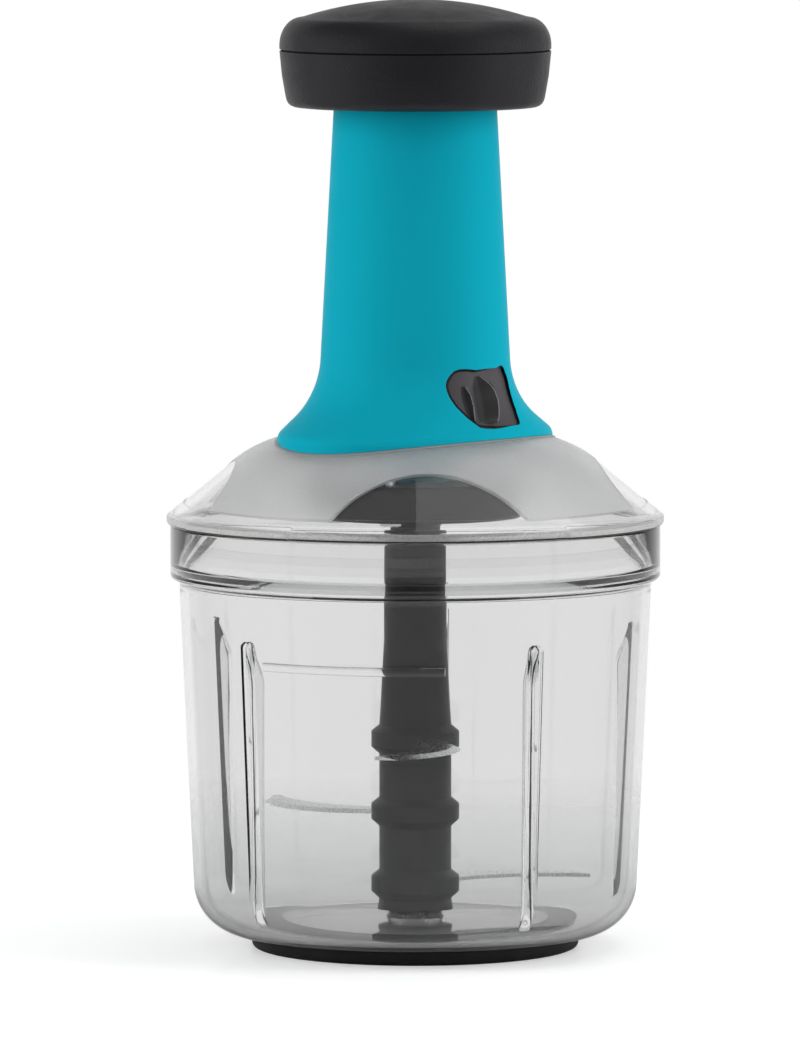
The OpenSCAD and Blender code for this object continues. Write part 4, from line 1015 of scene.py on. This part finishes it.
# ---------------------------------------------------------------- floor, light and camera


def build_floor():
    """A pale round floor with a faint sheen, which fades into the white background."""
    n = Nodes("floor_pale")
    spots = n.spread(n.noise(3, 3), 0.8, 0.83)
    tone = n.add("ShaderNodeCombineColor")
    for channel in ("Red", "Green", "Blue"):
        n.link(spots, tone.inputs[channel])
    diffuse = n.add("ShaderNodeBsdfDiffuse")
    n.link(tone.outputs["Color"], diffuse.inputs["Color"])
    glow = n.add("ShaderNodeEmission")
    path = n.add("ShaderNodeLightPath")
    glow_strength = n.add("ShaderNodeMath", operation="MULTIPLY")
    n.link(path.outputs["Is Camera Ray"], glow_strength.inputs[0])
    glow_strength.inputs[1].default_value = FLOOR_GLOW
    n.link(glow_strength.outputs[0], glow.inputs["Strength"])
    both = n.add("ShaderNodeAddShader")
    n.link(diffuse.outputs["BSDF"], both.inputs[0])
    n.link(glow.outputs["Emission"], both.inputs[1])
    mirror = n.add("ShaderNodeBsdfAnisotropic")
    mirror.inputs["Roughness"].default_value = 0.12
    sheen = n.add("ShaderNodeMixShader")
    sheen.inputs["Fac"].default_value = FLOOR_SHEEN
    n.link(both.outputs["Shader"], sheen.inputs[1])
    n.link(mirror.outputs["BSDF"], sheen.inputs[2])
    far = n.add("ShaderNodeVectorMath", operation="LENGTH")
    n.link(n.place, far.inputs[0])
    fade = n.spread(far.outputs["Value"], 1.0, 0.0, *FLOOR_FADE)
    air = n.add("ShaderNodeBsdfTransparent")
    blend = n.add("ShaderNodeMixShader")
    n.link(fade, blend.inputs["Fac"])
    n.link(air.outputs["BSDF"], blend.inputs[1])
    n.link(sheen.outputs["Shader"], blend.inputs[2])
    n.link(blend.outputs["Shader"], n.out.inputs["Surface"])
    rings = [[at(az, -0.05, r) for az in spread(0, 360, 96)[:-1]] for r in FLOOR_RINGS]
    verts, faces = ring_grid(rings, False)
    floor = make("floor", verts, faces, [n.material])


def build_world():
    """White to look at, also through clear walls; even and less bright as a light.

    What mirrors it sees a white back wall, a weaker glow at both sides, and else a dark room.
    """
    world = bpy.data.worlds.new("studio")
    bpy.context.scene.world = world
    world.use_nodes = True
    tree = world.node_tree
    tree.nodes.clear()

    def add(kind, *sources, **values):
        """A node whose first sockets are linked to sources."""
        node = tree.nodes.new(kind)
        for key, value in values.items():
            setattr(node, key, value)
        for socket, source in zip(node.inputs, sources):
            tree.links.new(source, socket)
        return node

    def calc(operation, *sources):
        return add("ShaderNodeMath", *sources, operation=operation).outputs[0]

    def ramp(source, *numbers):
        node = add("ShaderNodeMapRange", source, interpolation_type="SMOOTHSTEP")
        for key, number in zip(("From Min", "From Max", "To Min", "To Max"), numbers):
            node.inputs[key].default_value = number
        return node.outputs["Result"]

    def background(color, strength=1.0):
        node = add("ShaderNodeBackground")
        node.inputs["Color"].default_value = (*color, 1)
        node.inputs["Strength"].default_value = strength
        return node.outputs["Background"]

    def mixed(factor, a, b):
        return add("ShaderNodeMixShader", factor, a, b).outputs["Shader"]

    path = add("ShaderNodeLightPath").outputs
    direction = add("ShaderNodeTexCoord").outputs["Generated"]
    split = add("ShaderNodeSeparateXYZ", direction).outputs
    back = ramp(split["Y"], *BACK_WALL)
    sides = ramp(calc("ABSOLUTE", split["X"]), *SIDE_GLOW)
    mirrored = calc("MULTIPLY", path["Is Glossy Ray"], ramp(split["Z"], *WALL_TOP))
    mirrored = calc("MULTIPLY", mirrored, calc("MAXIMUM", back, sides))
    bright = calc("MAXIMUM", mirrored, path["Is Camera Ray"])
    bright = calc("MAXIMUM", bright, path["Is Transmission Ray"])
    studio = background((0.97, 0.985, 1), WORLD_LEVEL)
    room = mixed(path["Is Glossy Ray"], studio, background((0.03, 0.03, 0.03)))
    add("ShaderNodeOutputWorld", mixed(bright, room, background((1, 1, 1))))


def softbox(name, place, target, size, power, mirrored):
    """A soft rectangle of light at place that faces target."""
    light = bpy.data.lights.new(name, "AREA")
    light.shape = "RECTANGLE"
    light.size, light.size_y = size
    light.energy = power
    obj = bpy.data.objects.new(name, light)
    obj.location = place
    obj.rotation_euler = (Vector(target) - Vector(place)).to_track_quat("-Z", "Y").to_euler()
    obj.visible_glossy = mirrored
    obj.visible_transmission = False
    bpy.context.scene.collection.objects.link(obj)


def build_camera():
    """The photograph's viewpoint: far off and a little above the lid."""
    camera = bpy.data.cameras.new("camera")
    camera.sensor_width = 36.0
    camera.sensor_fit = "AUTO"
    camera.lens = CAMERA_LENS
    obj = bpy.data.objects.new("camera", camera)
    across, along = math.cos(CAMERA_TURN), math.sin(CAMERA_TURN)
    right = Vector((across, -along, 0)) * AIM_SIDE
    aim = Vector((0, 0, AIM_HIGH)) - right
    place = Vector((-along * CAMERA_FAR, -across * CAMERA_FAR, CAMERA_HIGH)) - right
    obj.rotation_mode = "QUATERNION"
    obj.rotation_quaternion = (aim - place).to_track_quat("-Z", "Y")
    obj.location = place
    bpy.context.scene.collection.objects.link(obj)
    bpy.context.scene.camera = obj


# ---------------------------------------------------------------- the picture

for build in (build_bowl, build_foot_ring, build_lid, build_column, build_gasket, build_slider,
              build_knob, build_shaft, build_floor, build_world):
    build()
for row in SOFTBOXES:
    softbox(*row)
build_camera()

bpy.context.scene.view_settings.view_transform = "Standard"
